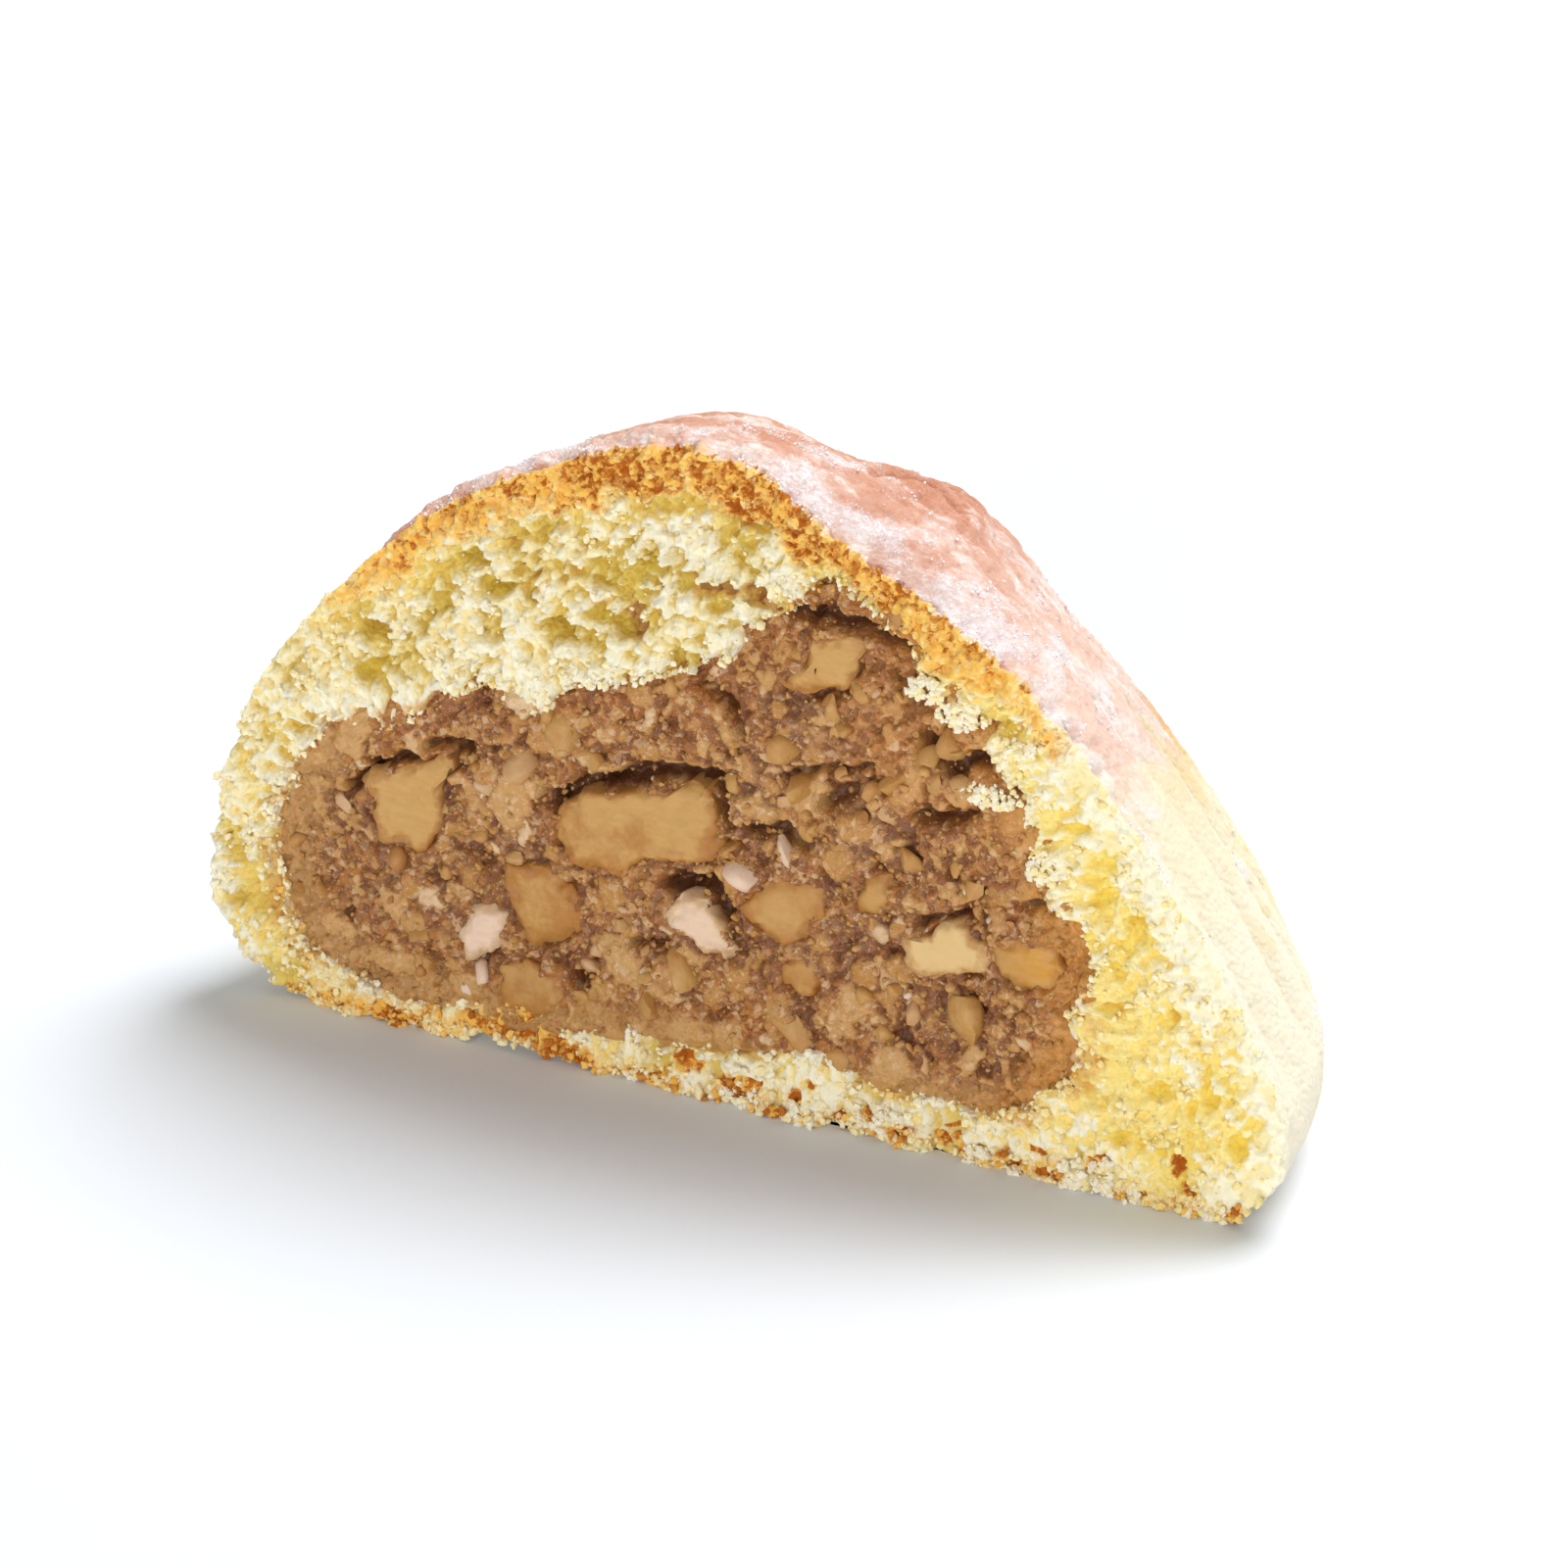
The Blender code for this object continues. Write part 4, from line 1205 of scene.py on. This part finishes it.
class MAAMOUL_OT_filling(bpy.types.Operator):
    """Adds the filling: a lumpy paste of ground nuts with cracks in it"""

    bl_idname = "maamoul.filling"
    bl_label = "Filling"

    def execute(self, context):
        settings = context.scene.maamoul_filling
        obj = merged_copy("filling", "filling_paste")
        self.close_pockets(obj)
        applied(obj, "REMESH", mode="VOXEL", voxel_size=settings.detail)
        divided(obj, 0.4 * MM, 2)
        thinned(obj, points_of(obj)[:, 1] > CUT_Y + 2.5 * MM)
        self.shape(obj, settings)
        finish_piece(obj, filling_look(settings), "filling", "filling")
        return {"FINISHED"}

    @staticmethod
    def close_pockets(obj):
        """Fills the pockets round the nuts, so that the paste clings to them."""
        plugs = []
        for node in NUTS:
            plug = merged_copy(node, "plug")
            points = points_of(plug) + normals_of(plug) * 0.45 * MM
            points[:, 1] = np.maximum(points[:, 1], CUT_Y)
            move_points(plug, points)
            plugs.append(plug)
        only(obj)
        for plug in plugs:
            plug.select_set(True)
        bpy.ops.object.join()

    @staticmethod
    def shape(obj, settings):
        """Moves the points of the paste, and stores on them what the material reads."""
        points, normals = points_of(obj), normals_of(obj)
        from_cut = points[:, 1] - CUT_Y
        cut = 1 - ramp(0.10 * MM, 0.5 * MM, from_cut)
        flat = on_the_cut(points)
        nut = inside_nuts(flat)
        height, shares = lumpy_paste(flat, nut, settings.grain)
        swells = (clouds(flat, 4.5 * MM, 121, 2) - 0.5) * 0.6
        crack = crack_depth(flat)
        covered = ramp(-0.05, 0.3, nut + (clouds(flat, 0.7 * MM, 125) - 0.5) * 0.9)
        collar = (1 - ramp(0.2, 1.1, -nut)) * 0.12
        rise = (height + swells + collar) * (1 - covered) - 0.45 * covered - crack - 0.12
        points[:, 1] -= cut * rise * MM

        # Close to the cut the paste swells against the dough
        near = (1 - ramp(0.5 * MM, 2.0 * MM, from_cut)) * (1 - cut)
        _, wall = nearest_on(points, "dough")
        side = (1 - ramp(0.3 * MM, 1.0 * MM, wall)) * near
        pressed = side * (0.45 + 0.9 * (clouds(points, 1.4 * MM, 131) - 0.4)) * MM
        points += normals * np.clip(pressed, 0, 1.0 * MM)[:, None]
        move_points(obj, points)
        rim = (1 - ramp(0.5 * MM, 5.5 * MM, wall)) * 0.5
        relief = 0.5 + height + swells * 0.4
        set_shares(obj, relief=relief, crack=crack, nut=nut, rim=rim, cut=cut, **shares)


# ---------------------------------------------------------------- the nuts


class MaamoulNuts(bpy.types.PropertyGroup):
    """The pieces of nut that show on the cut."""

    walnut: colour_property("Walnut", "The cut face of a walnut", (0.58, 0.325, 0.095))
    deep_walnut: colour_property("Brown walnut", "The browner walnuts", (0.46, 0.22, 0.055))
    skin: colour_property("Skin", "A walnut's brown skin", (0.42, 0.20, 0.06))
    blanched: colour_property("Blanched nut", "A blanched nut", (0.80, 0.58, 0.42))
    cream: colour_property("Cream", "The creamier blanched nuts", (0.74, 0.50, 0.21))
    rim: colour_property("Rim", "The edges of a blanched nut", (0.62, 0.39, 0.17))
    amber: colour_property("Amber", "Nuts in the moist paste at the right end", (0.65, 0.30, 0.03))
    brown_bit: colour_property("Brown bits", "The brownest small bits", (0.46, 0.20, 0.06))
    detail: length_property("Detail", "The mesh's spacing", 0.14 * MM)
    bits: count_property("Bits", "How many small bits of nut", 210)
    granules: count_property("Granules", "How many grains of ground nut", 2000)


def nut_look(name, face, deep, edge, amber, paste):
    look = Look(
        name, Roughness=0.45, Subsurface_Weight=0.2, Subsurface_Scale=0.001, Specular_IOR_Level=0.4
    )
    place = look.place()
    fine = look.noise(place, 3.2, 4)
    fibre = look.noise(look.stretched(place, (0.7, 1, 2.2)), 1.6, 4, 0.65)
    broad = look.noise(place, 0.55, 2)
    light = tuple(min(1.0, c * 1.12 + 0.03) for c in face)
    face = look.mix(look.part(place, 0).between(12, 15), face, amber)
    tone = look.share("tint") + (broad - 0.5) * 0.9
    colour = look.mix(fibre.between(0.3, 0.75) * 0.6, face, light)
    colour = look.mix(tone.between(0.0, 1.0), colour, deep)
    worn = (look.share("edge") + (fine - 0.5) * 1.1 + (broad - 0.5) * 0.8).between(0.35, 1.0)
    colour = look.mix(worn * 0.6, colour, edge)
    smear = look.share("smear") + (broad - 0.5) * 1.8 + (fine - 0.5) * 0.9 + look.share("edge") * 0.4
    colour = look.mix(smear.between(0.35, 1.1) * 0.8, colour, paste)
    normal = look.bump(fine * 0.8 + fibre * 0.3, 0.35, 0.00014)
    return look.wire(Base_Color=colour, Roughness=0.40 + fine * 0.25, Normal=normal)


# How a nut's outline wobbles: the wobbles' size and amount in millimetres, and a step of the seed
WOBBLES = ((1.1, 0.07, 0), (0.5, 0.13, 3), (0.3, 0.045, 6))
SOLID_NUT_PROUD = 0.35  # in millimetres: how far the solid nuts stand out of the cut


def nut_piece(node, name, settings, material, slot, seed):
    """A chopped nut with a broken outline, and a knife-cut face with dents and flaked edges."""
    brown, smeared, proud, corners = NUT_SHAPES[node]
    obj = merged_copy(node, name)
    round_outline = on_the_cut(cut_outline(obj))
    applied(obj, "REMESH", mode="VOXEL", voxel_size=settings.detail)
    applied(obj, "SMOOTH", factor=0.5, iterations=3)
    points, normals = points_of(obj), normals_of(obj)
    front = points[:, 1].min()
    outline = straight_sides(corners)
    middle = outline.mean(axis=0)
    flat = on_the_cut(points)
    direction, away = around(flat, middle)
    before = reach_of(round_outline, middle, direction)
    inside = (1 - away / before) * away.max() / MM
    flat = middle + (flat - middle) * (reach_of(outline, middle, direction) / before)[:, None]
    for size, amount, step in WOBBLES:
        flat = wobbled(flat, size * MM, amount * MM, seed + step)
    face = 1 - ramp(0.10 * MM, 0.5 * MM, points[:, 1] - front)
    dents = (clouds(points, 1.1 * MM, seed + 5, 4) - 0.5) * 0.34
    flakes = ramp(0.48, 0.60, clouds(flat, 0.8 * MM, seed + 9)) * (1 - ramp(0.2, 1.0, inside)) * 0.28
    lean = scramble(np.array([[seed, 1], [seed, 2]]), 7) - 0.5
    points += normals * (dents * face * MM)[:, None]
    points[:, (0, 2)] = flat
    points[:, 1] += ((flat - middle) @ lean) * 0.12 + (SOLID_NUT_PROUD - proud + flakes * face) * MM
    move_points(obj, points)
    # Each nut takes more paste colour towards its bottom
    low = (middle[1] - flat[:, 1]) / np.ptp(outline[:, 1])
    set_shares(
        obj, edge=1 - face * ramp(0.0, 0.8, inside), tint=np.full(len(points), brown),
        smear=smeared + low * 0.5,
    )
    finish_piece(obj, material, slot, node, crease=50)


class MAAMOUL_OT_nuts(bpy.types.Operator):
    """Adds the chopped walnuts and blanched nuts that show on the cut"""

    bl_idname = "maamoul.nuts"
    bl_label = "Nuts"

    def execute(self, context):
        settings = context.scene.maamoul_nuts
        paste = context.scene.maamoul_filling.paste[:]
        tones = settings.amber, paste
        walnut = nut_look("walnut", settings.walnut, settings.deep_walnut, settings.skin, *tones)
        blanched = nut_look("blanched nut", settings.blanched, settings.cream, settings.rim, *tones)
        for nodes, kind, look, slot, seed in (
            (WALNUTS, "walnut", walnut, "walnut", 201),
            (BLANCHED_NUTS, "blanched", blanched, "blanched_nut", 401),
        ):
            for i, node in enumerate(nodes):
                nut_piece(node, f"{kind}_piece_{i + 1}", settings, look, slot, seed + 10 * i)
        self.bits(settings, paste)
        self.granules(settings, paste)
        return {"FINISHED"}

    @staticmethod
    def bits(settings, paste):
        """Bits of nut from half a millimetre to two and a half across, sunk into the paste."""
        random = np.random.default_rng(31)
        filling = bpy.data.objects["filling_paste"]
        points = points_of(filling)
        free = (shares_of(filling, "cut") > 0.9) * (shares_of(filling, "nut") < -0.3)
        picked = chosen_points(random, free * 1.0, settings.bits)
        count = len(picked)
        placed = np.array([(x, CUT_Y / MM, z) for x, z, *_ in BITS]) * MM
        places = np.concatenate([placed, points[picked]])
        width = 0.4 + 1.1 * random.uniform(0, 1, count) ** 2
        sizes = uneven(random, width, 0.6)
        with_hidden_part = 1.3
        placed_sizes = np.array([(w, 0.8 * min(w, h), h) for _, _, w, h, _ in BITS]) * with_hidden_part
        sizes = np.concatenate([placed_sizes, sizes]) * MM
        sunk = np.repeat((0.02, 0.12), (len(BITS), count))
        places[:, 1] += sizes.min(axis=1) * sunk
        tints = random.uniform(0.1, 0.72, count) + 0.3 * (random.uniform(0, 1, count) > 0.92)
        tints = np.concatenate([[tint for *_, tint in BITS], tints])
        shapes = small_shapes(9, 0.08, 601, levels=2, flats=9)
        obj = scattered("nut_bits", shapes, random, places, sizes, tints)
        finish_piece(obj, bits_look(settings, paste), "walnut", crease=55)

    @staticmethod
    def granules(settings, paste):
        """Ground nuts, like coarse sand, on the paste."""
        random = np.random.default_rng(37)
        filling = bpy.data.objects["filling_paste"]
        points = points_of(filling)
        weights = (shares_of(filling, "cut") > 0.5) * (1 - 0.8 * shares_of(filling, "bit"))
        weights *= ramp(0.2, -0.3, shares_of(filling, "nut"))
        picked = chosen_points(random, weights, settings.granules)
        width = (0.12 + 0.3 * random.uniform(0, 1, len(picked)) ** 2) * MM
        sizes = uneven(random, width, 0.6)
        tints = random.uniform(0.0, 0.75, len(picked))
        shapes = small_shapes(6, 0.35, 621)
        obj = scattered("ground_nuts", shapes, random, points[picked], sizes, tints)
        finish_piece(obj, bits_look(settings, paste), "filling", crease=0)


# Small bits of nut in fixed places: x, z, width and height in millimetres, and how pale each is
BITS = (
    (0.0, 11.4, 2.0, 1.6, 0.97), (2.3, 12.7, 1.6, 0.7, 0.85), (-4.6, 4.0, 2.8, 1.6, 0.50),
    (-4.9, 5.4, 2.1, 0.8, 0.80), (-2.8, 6.2, 2.2, 1.5, 0.42), (-6.2, 5.7, 1.0, 1.2, 0.50),
    (-7.2, 5.9, 0.9, 0.7, 0.70), (11.0, 7.1, 1.9, 2.4, 0.40), (-8.8, 16.0, 1.9, 1.9, 0.35),
    (-11.0, 14.1, 1.6, 1.5, 0.66), (4.5, 20.2, 2.0, 0.9, 0.60), (5.1, 19.4, 0.9, 0.9, 0.55),
    (-17.2, 8.1, 1.7, 1.1, 0.15), (-16.1, 4.8, 2.0, 1.2, 0.45), (-11.3, 9.6, 0.7, 0.9, 0.65),
    (2.2, 17.6, 1.5, 1.3, 0.35), (3.1, 16.0, 2.2, 1.4, 0.48), (7.6, 17.5, 1.9, 1.0, 0.35),
    (10.2, 19.8, 1.4, 1.8, 0.25), (8.5, 13.8, 1.4, 1.0, 0.50), (11.4, 13.2, 1.1, 0.9, 0.40),
    (8.4, 6.5, 1.0, 0.8, 0.68), (6.2, 6.9, 1.0, 1.1, 0.52), (2.6, 4.3, 3.2, 1.2, 0.38),
    (-13.1, 3.6, 0.9, 1.4, 0.97), (-13.7, 2.7, 1.1, 0.7, 0.97),
)


def bits_look(settings, paste):
    look = Look("chopped nuts", Roughness=0.5, Subsurface_Weight=0.15, Subsurface_Scale=0.0008)
    place = look.place()
    fine = look.noise(place, 3.0, 3)
    broad = look.noise(place, 0.8, 2)
    tint = look.share("tint") + (fine - 0.5) * 0.25
    colour = look.mix(tint.between(0.0, 0.4), settings.brown_bit, settings.walnut)
    colour = look.mix(tint.between(0.55, 0.9), colour, settings.blanched)
    smeared = ((broad - 0.5) * 2.0 + (fine - 0.5) * 1.4 + 0.45).clamped() * tint.between(1.0, 0.7)
    colour = look.mix(smeared * 0.7, colour, paste)
    return look.wire(
        Base_Color=colour, Roughness=0.42 + fine * 0.25, Normal=look.bump(fine, 0.4, 0.00012)
    )


# ---------------------------------------------------------------- loose crumbs and icing sugar


class MaamoulDusting(bpy.types.PropertyGroup):
    """What lies loose on the cookie."""

    crumbs: count_property("Crumbs", "How many crumbs cling to the cut", 4200)
    clumps: count_property("Clumps", "How many clumps of crumbs cling to the cut's bottom", 70)
    clump_size: count_property("Clump size", "How many crumbs are in a clump", 12)
    heap_size: count_property("Heap size", "How many crumbs are in a heap by the filling", 75)
    sugar: count_property("Sugar", "How many grains and clots of icing sugar", 8000)
    shade: colour_property("Sugar's shade", "The darker icing sugar", (0.94, 0.91, 0.93))
    white: colour_property("Sugar's white", "The lighter icing sugar", (0.98, 0.97, 0.98))


def crumbs_look(settings):
    look = Look(
        "crumbs", Roughness=0.85, Subsurface_Weight=0.2, Subsurface_Scale=0.0002,
        Subsurface_Radius=(1.0, 1.0, 0.9), Specular_IOR_Level=0.3,
    )
    place = look.place()
    fine = look.noise(place, 4.0, 3)
    tint = look.share("tint") + (fine - 0.5) * 0.3
    colour = look.mix(tint.between(-0.9, -0.3), settings.brown, settings.gold)
    straw = (look.part(place, 0) * 0.03 - 0.15).clamped()
    crumb = look.mix(straw, settings.crumb, settings.straw)
    colour = look.mix(tint.between(-0.3, 0.1), colour, crumb)
    colour = look.mix((tint - straw * 0.4).between(0.4, 0.95), colour, settings.pale)
    colour = look.mix(tint.between(1.1, 1.4), colour, settings.flour)
    return look.wire(
        Base_Color=colour, Roughness=0.8 + fine * 0.15, Normal=look.bump(fine, 0.5, 0.00012)
    )


def sugar_look(settings):
    look = Look(
        "icing sugar", Roughness=0.9, Subsurface_Weight=0.1, Subsurface_Scale=0.0001,
        Subsurface_Radius=(1.0, 1.0, 1.0), Specular_IOR_Level=0.3,
    )
    place = look.place()
    fine = look.noise(place, 6.0, 3)
    colour = look.mix(fine.between(0.3, 0.7), settings.shade, settings.white)
    return look.wire(Base_Color=colour, Normal=look.bump(fine, 0.5, 0.0001))


def read_dough(*names):
    """The finished dough's points and normals, and the numbers stored on them."""
    obj = bpy.data.objects["dough_baked"]
    shares = {name: shares_of(obj, name) for name in names}
    return SimpleNamespace(points=points_of(obj), normals=normals_of(obj), **shares)


def clinging_crumbs(random, dough, low, count):
    """Single crumbs, more of them in clusters, along the filling and along the bottom."""
    edge = 1 - ramp(0.2, 1.8, dough.wall)
    clusters = ramp(0.45, 0.7, clouds(on_the_cut(dough.points), 1.6 * MM, 83))
    weights = (dough.cut > 0.4) * (0.06 + 0.6 * clusters + 0.9 * edge + 1.6 * low)
    weights *= (1 - 0.8 * dough.pit) * (1 - 0.55 * ramp(0.3, 0.8, dough.gold) * (1 - low))
    picked = chosen_points(random, weights, count)
    width = (0.12 + 0.36 * random.uniform(0, 1, count) ** 2) * MM
    sizes = uneven(random, width, 0.65)
    places = dough.points[picked] + dough.normals[picked] * width[:, None] * 0.15
    places[:, 1] -= width * 0.1
    places[:, 2] = np.maximum(places[:, 2], width * 0.5)
    tints = random.uniform(0.2, 1, count) + 0.35 * edge[picked]
    flour = 1 - 0.9 * low[picked] * (random.uniform(0, 1, count) > 0.45)
    gold = dough.gold[picked]
    tints = tints * (1 - np.clip(gold, 0, 1)) - np.clip(gold * flour, 0, 1) * 0.6
    tints -= np.clip(dough.brown[picked], 0, 0.5) * random.uniform(0, 1, count)
    tints -= np.clip(dough.stain[picked], 0, 0.9) * random.uniform(0.3, 1.2, count)
    return places, sizes, tints


def clumped_crumbs(random, dough, low, clumps, each):
    """Clumps of crumbs that hang together along the bottom of the cut, floury or browned."""
    right = ramp(-10, 10, dough.points[:, 0] / MM)
    clustered = ramp(0.40, 0.55, clouds(on_the_cut(dough.points), 2.4 * MM, 87, 2))
    weights = (dough.cut > 0.6) * low * (0.35 + right) * clustered
    heart = np.repeat(chosen_points(random, weights, clumps), each)
    count = len(heart)
    spread = random.normal(0, 1, (count, 3)) * (0.14, 0.12, 0.16) * MM
    places = dough.points[heart] + spread - np.array([0, 0.12 * MM, 0])
    width = (0.18 + 0.34 * random.uniform(0, 1, count) ** 1.5) * MM
    sizes = width[:, None] * random.uniform(0.7, 1, (count, 3))
    floury = np.repeat(random.uniform(0, 1, clumps), each) < 0.45 + 0.3 * right[heart]
    tints = random.uniform(0.9, 1.5, count) * floury - random.uniform(0.1, 0.9, count) * ~floury
    return places, sizes, tints


def heaped_crumbs(random, each):
    """Heaps of pale crumbs that reach over the edge of the filling."""
    x, z, width, height = np.repeat(np.array(HEAPS), each, axis=0).T
    count = len(x)
    turn, reach = random.uniform(0, 2 * np.pi, count), random.uniform(0, 1, count) ** 0.6
    places = np.stack([
        x + np.cos(turn) * reach * width / 2,
        CUT_Y / MM - 0.10 - 0.30 * random.uniform(0, 1, count) * (1 - reach),
        z + np.sin(turn) * reach * height / 2,
    ], axis=1) * MM
    width = 0.2 + 0.35 * random.uniform(0, 1, count) ** 1.5
    sizes = width[:, None] * random.uniform(0.7, 1, (count, 3)) * MM
    return places, sizes, random.uniform(0.4, 1.4, count)


class MAAMOUL_OT_dusting(bpy.types.Operator):
    """Adds the crumbs that cling to the cut, and the icing sugar on the top"""

    bl_idname = "maamoul.dusting"
    bl_label = "Crumbs and icing sugar"

    def execute(self, context):
        settings = context.scene.maamoul_dusting
        self.crumbs(settings, context.scene.maamoul_dough)
        self.sugar(settings)
        return {"FINISHED"}

    @staticmethod
    def crumbs(settings, colours):
        """Crumbs of the dough: single ones, clumps and heaps."""
        random = np.random.default_rng(41)
        dough = read_dough("cut", "wall", "gold", "brown", "pit", "stain")
        low = 1 - ramp(0.4, 1.6, dough.points[:, 2] / MM)
        kinds = (
            clinging_crumbs(random, dough, low, settings.crumbs),
            clumped_crumbs(random, dough, low, settings.clumps, settings.clump_size),
            heaped_crumbs(random, settings.heap_size),
        )
        places, sizes, tints = (np.concatenate(parts) for parts in zip(*kinds))
        places[:, 2] = np.maximum(places[:, 2], 0.08 * MM)
        crumbs = scattered("crumbs", small_shapes(8, 0.38, 641), random, places, sizes, tints)
        finish_piece(crumbs, crumbs_look(colours), "dough", crease=0)

    @staticmethod
    def sugar(settings):
        """Grains and clots of icing sugar, coarser and more of them on the back."""
        random = np.random.default_rng(43)
        dough = read_dough("cut", "wall", "sugar")
        x, y, z = dough.points.T
        outside = 1 - dough.cut
        back = ramp(5 * MM, 11 * MM, y - CUT_Y - 7 * MM * ramp(4 * MM, 14 * MM, x))
        weights = np.clip(dough.sugar - 0.25, 0, 1) ** 1.5 * outside * (0.3 + 0.7 * back)
        weights += 0.006 * outside * back
        weights *= (z > 1.0 * MM) & (dough.wall > 1.2)
        picked = chosen_points(random, weights, settings.sugar)
        width = (0.06 + 0.14 * random.uniform(0, 1, len(picked)) ** 3) * (1 + 0.7 * back[picked]) * MM
        sizes = width[:, None] * np.array([1, 0.8, 0.7])
        places = dough.points[picked] + dough.normals[picked] * width[:, None] * 0.1
        tints = random.uniform(0, 1, len(picked))
        grains = scattered("icing_sugar", small_shapes(6, 0.35, 661), random, places, sizes, tints)
        finish_piece(grains, sugar_look(settings), "icing_sugar", crease=0)


# ---------------------------------------------------------------- the stage


class MaamoulStage(bpy.types.PropertyGroup):
    """The floor, the light and the camera."""

    azimuth: angle_property("Azimuth", "Which side the camera looks from", 30)
    elevation: angle_property("Elevation", "How far above the camera is", 24)
    distance: length_property("Distance", "How far away the camera is", 700 * MM)
    lens: FloatProperty(name="Lens", description="Focal length in millimetres", default=367.0)
    key: power_property("Key light", "Power of the light behind", 10.0)
    key_size: length_property("Key size", "How wide the light behind is", 600 * MM)
    key_azimuth: angle_property("Key azimuth", "Where the light behind is, from +X towards +Y", 69)
    key_elevation: angle_property("Key elevation", "How steeply the light behind comes down", 64)
    fill: power_property("Fill light", "Power of the light in front", 8.8)
    fill_size: length_property("Fill size", "How wide the light in front is", 700 * MM)
    fill_azimuth: angle_property("Fill azimuth", "Where the light in front is, from +X towards +Y", -78)
    fill_elevation: angle_property("Fill elevation", "How steeply the light in front comes down", 3)
    sky: FloatProperty(name="Sky", description="Brightness of the white room", default=0.32)
    floor: colour_property("Floor", "The pale floor", (0.84, 0.882, 0.94))
    floor_size: length_property("Floor size", "How wide the floor is", 6000 * MM)


class MAAMOUL_OT_stage(bpy.types.Operator):
    """Adds a pale floor, soft light and the camera"""

    bl_idname = "maamoul.stage"
    bl_label = "Stage"

    def execute(self, context):
        settings = context.scene.maamoul_stage
        bpy.ops.object.select_all(action="DESELECT")
        bpy.ops.mesh.primitive_plane_add(size=settings.floor_size)
        floor = context.object
        floor.name = "floor"
        look = Look("pale floor", Base_Color=(*settings.floor, 1), Roughness=0.9)
        floor.data.materials.append(look.material)
        for name in ("key", "fill"):
            power, size = getattr(settings, name), getattr(settings, f"{name}_size")
            azimuth, elevation = (getattr(settings, f"{name}_{way}") for way in ("azimuth", "elevation"))
            self.light(context, name, power, size, azimuth, elevation)
        world = bpy.data.worlds.new("white room")
        world.use_nodes = True
        background = world.node_tree.nodes["Background"].inputs
        background["Color"].default_value = (1, 1, 1, 1)
        background["Strength"].default_value = settings.sky
        context.scene.world = world
        context.scene.view_settings.view_transform = "Standard"
        self.camera(context, settings)
        return {"FINISHED"}

    @staticmethod
    def light(context, name, power, size, azimuth, elevation):
        """An area light a metre away that faces the cookie."""
        place = Vector((
            math.cos(azimuth) * math.cos(elevation),
            math.sin(azimuth) * math.cos(elevation),
            math.sin(elevation),
        ))
        bpy.ops.object.light_add(type="AREA", location=place)
        lamp = context.object
        lamp.name = name
        lamp.data.energy = power
        lamp.data.size = size
        lamp.rotation_euler = (-place).to_track_quat("-Z", "Y").to_euler()

    @staticmethod
    def camera(context, settings):
        """The camera stands a little to the left of the cookie and above it, and turns to its middle."""
        a, e = settings.azimuth, settings.elevation
        back = Vector((math.sin(a) * math.cos(e), -math.cos(a) * math.cos(e), math.sin(e)))
        right = Vector((math.cos(a), math.sin(a), 0))
        up = back.cross(right)
        to_the_left, raised = 12.96 * MM, 24.75 * MM
        seen_from = Vector((0, CUT_Y, 0)) - right * to_the_left + up * raised
        bpy.ops.object.camera_add(location=seen_from + back * settings.distance)
        camera = context.object
        target = Vector((0.5 * MM, CUT_Y + 3 * MM, 14.5 * MM))
        camera.rotation_euler = (target - camera.location).to_track_quat("-Z", "Y").to_euler()
        camera.data.sensor_width = 36
        camera.data.lens = settings.lens
        camera.data.clip_start = 0.01
        context.scene.camera = camera


class MAAMOUL_PT_panel(bpy.types.Panel):
    """Lists the maamoul's pieces"""

    bl_label = "Maamoul"
    bl_idname = "MAAMOUL_PT_panel"
    bl_space_type = "VIEW_3D"
    bl_region_type = "UI"
    bl_category = "Maamoul"

    def draw(self, context):
        for operator in OPERATORS:
            self.layout.operator(operator.bl_idname)


GROUPS = {
    "maamoul_dough": MaamoulDough,
    "maamoul_filling": MaamoulFilling,
    "maamoul_nuts": MaamoulNuts,
    "maamoul_dusting": MaamoulDusting,
    "maamoul_stage": MaamoulStage,
}
OPERATORS = (
    MAAMOUL_OT_dough, MAAMOUL_OT_filling, MAAMOUL_OT_nuts, MAAMOUL_OT_dusting, MAAMOUL_OT_stage
)


def register():
    for cls in (*GROUPS.values(), *OPERATORS, MAAMOUL_PT_panel):
        bpy.utils.register_class(cls)
    for name, group in GROUPS.items():
        setattr(bpy.types.Scene, name, PointerProperty(type=group))


def unregister():
    for name in GROUPS:
        delattr(bpy.types.Scene, name)
    for cls in (MAAMOUL_PT_panel, *reversed(OPERATORS), *GROUPS.values()):
        bpy.utils.unregister_class(cls)


def main():
    register()
    for operator in OPERATORS:
        space, name = operator.bl_idname.split(".")
        getattr(getattr(bpy.ops, space), name)()


if __name__ == "__main__":
    main()
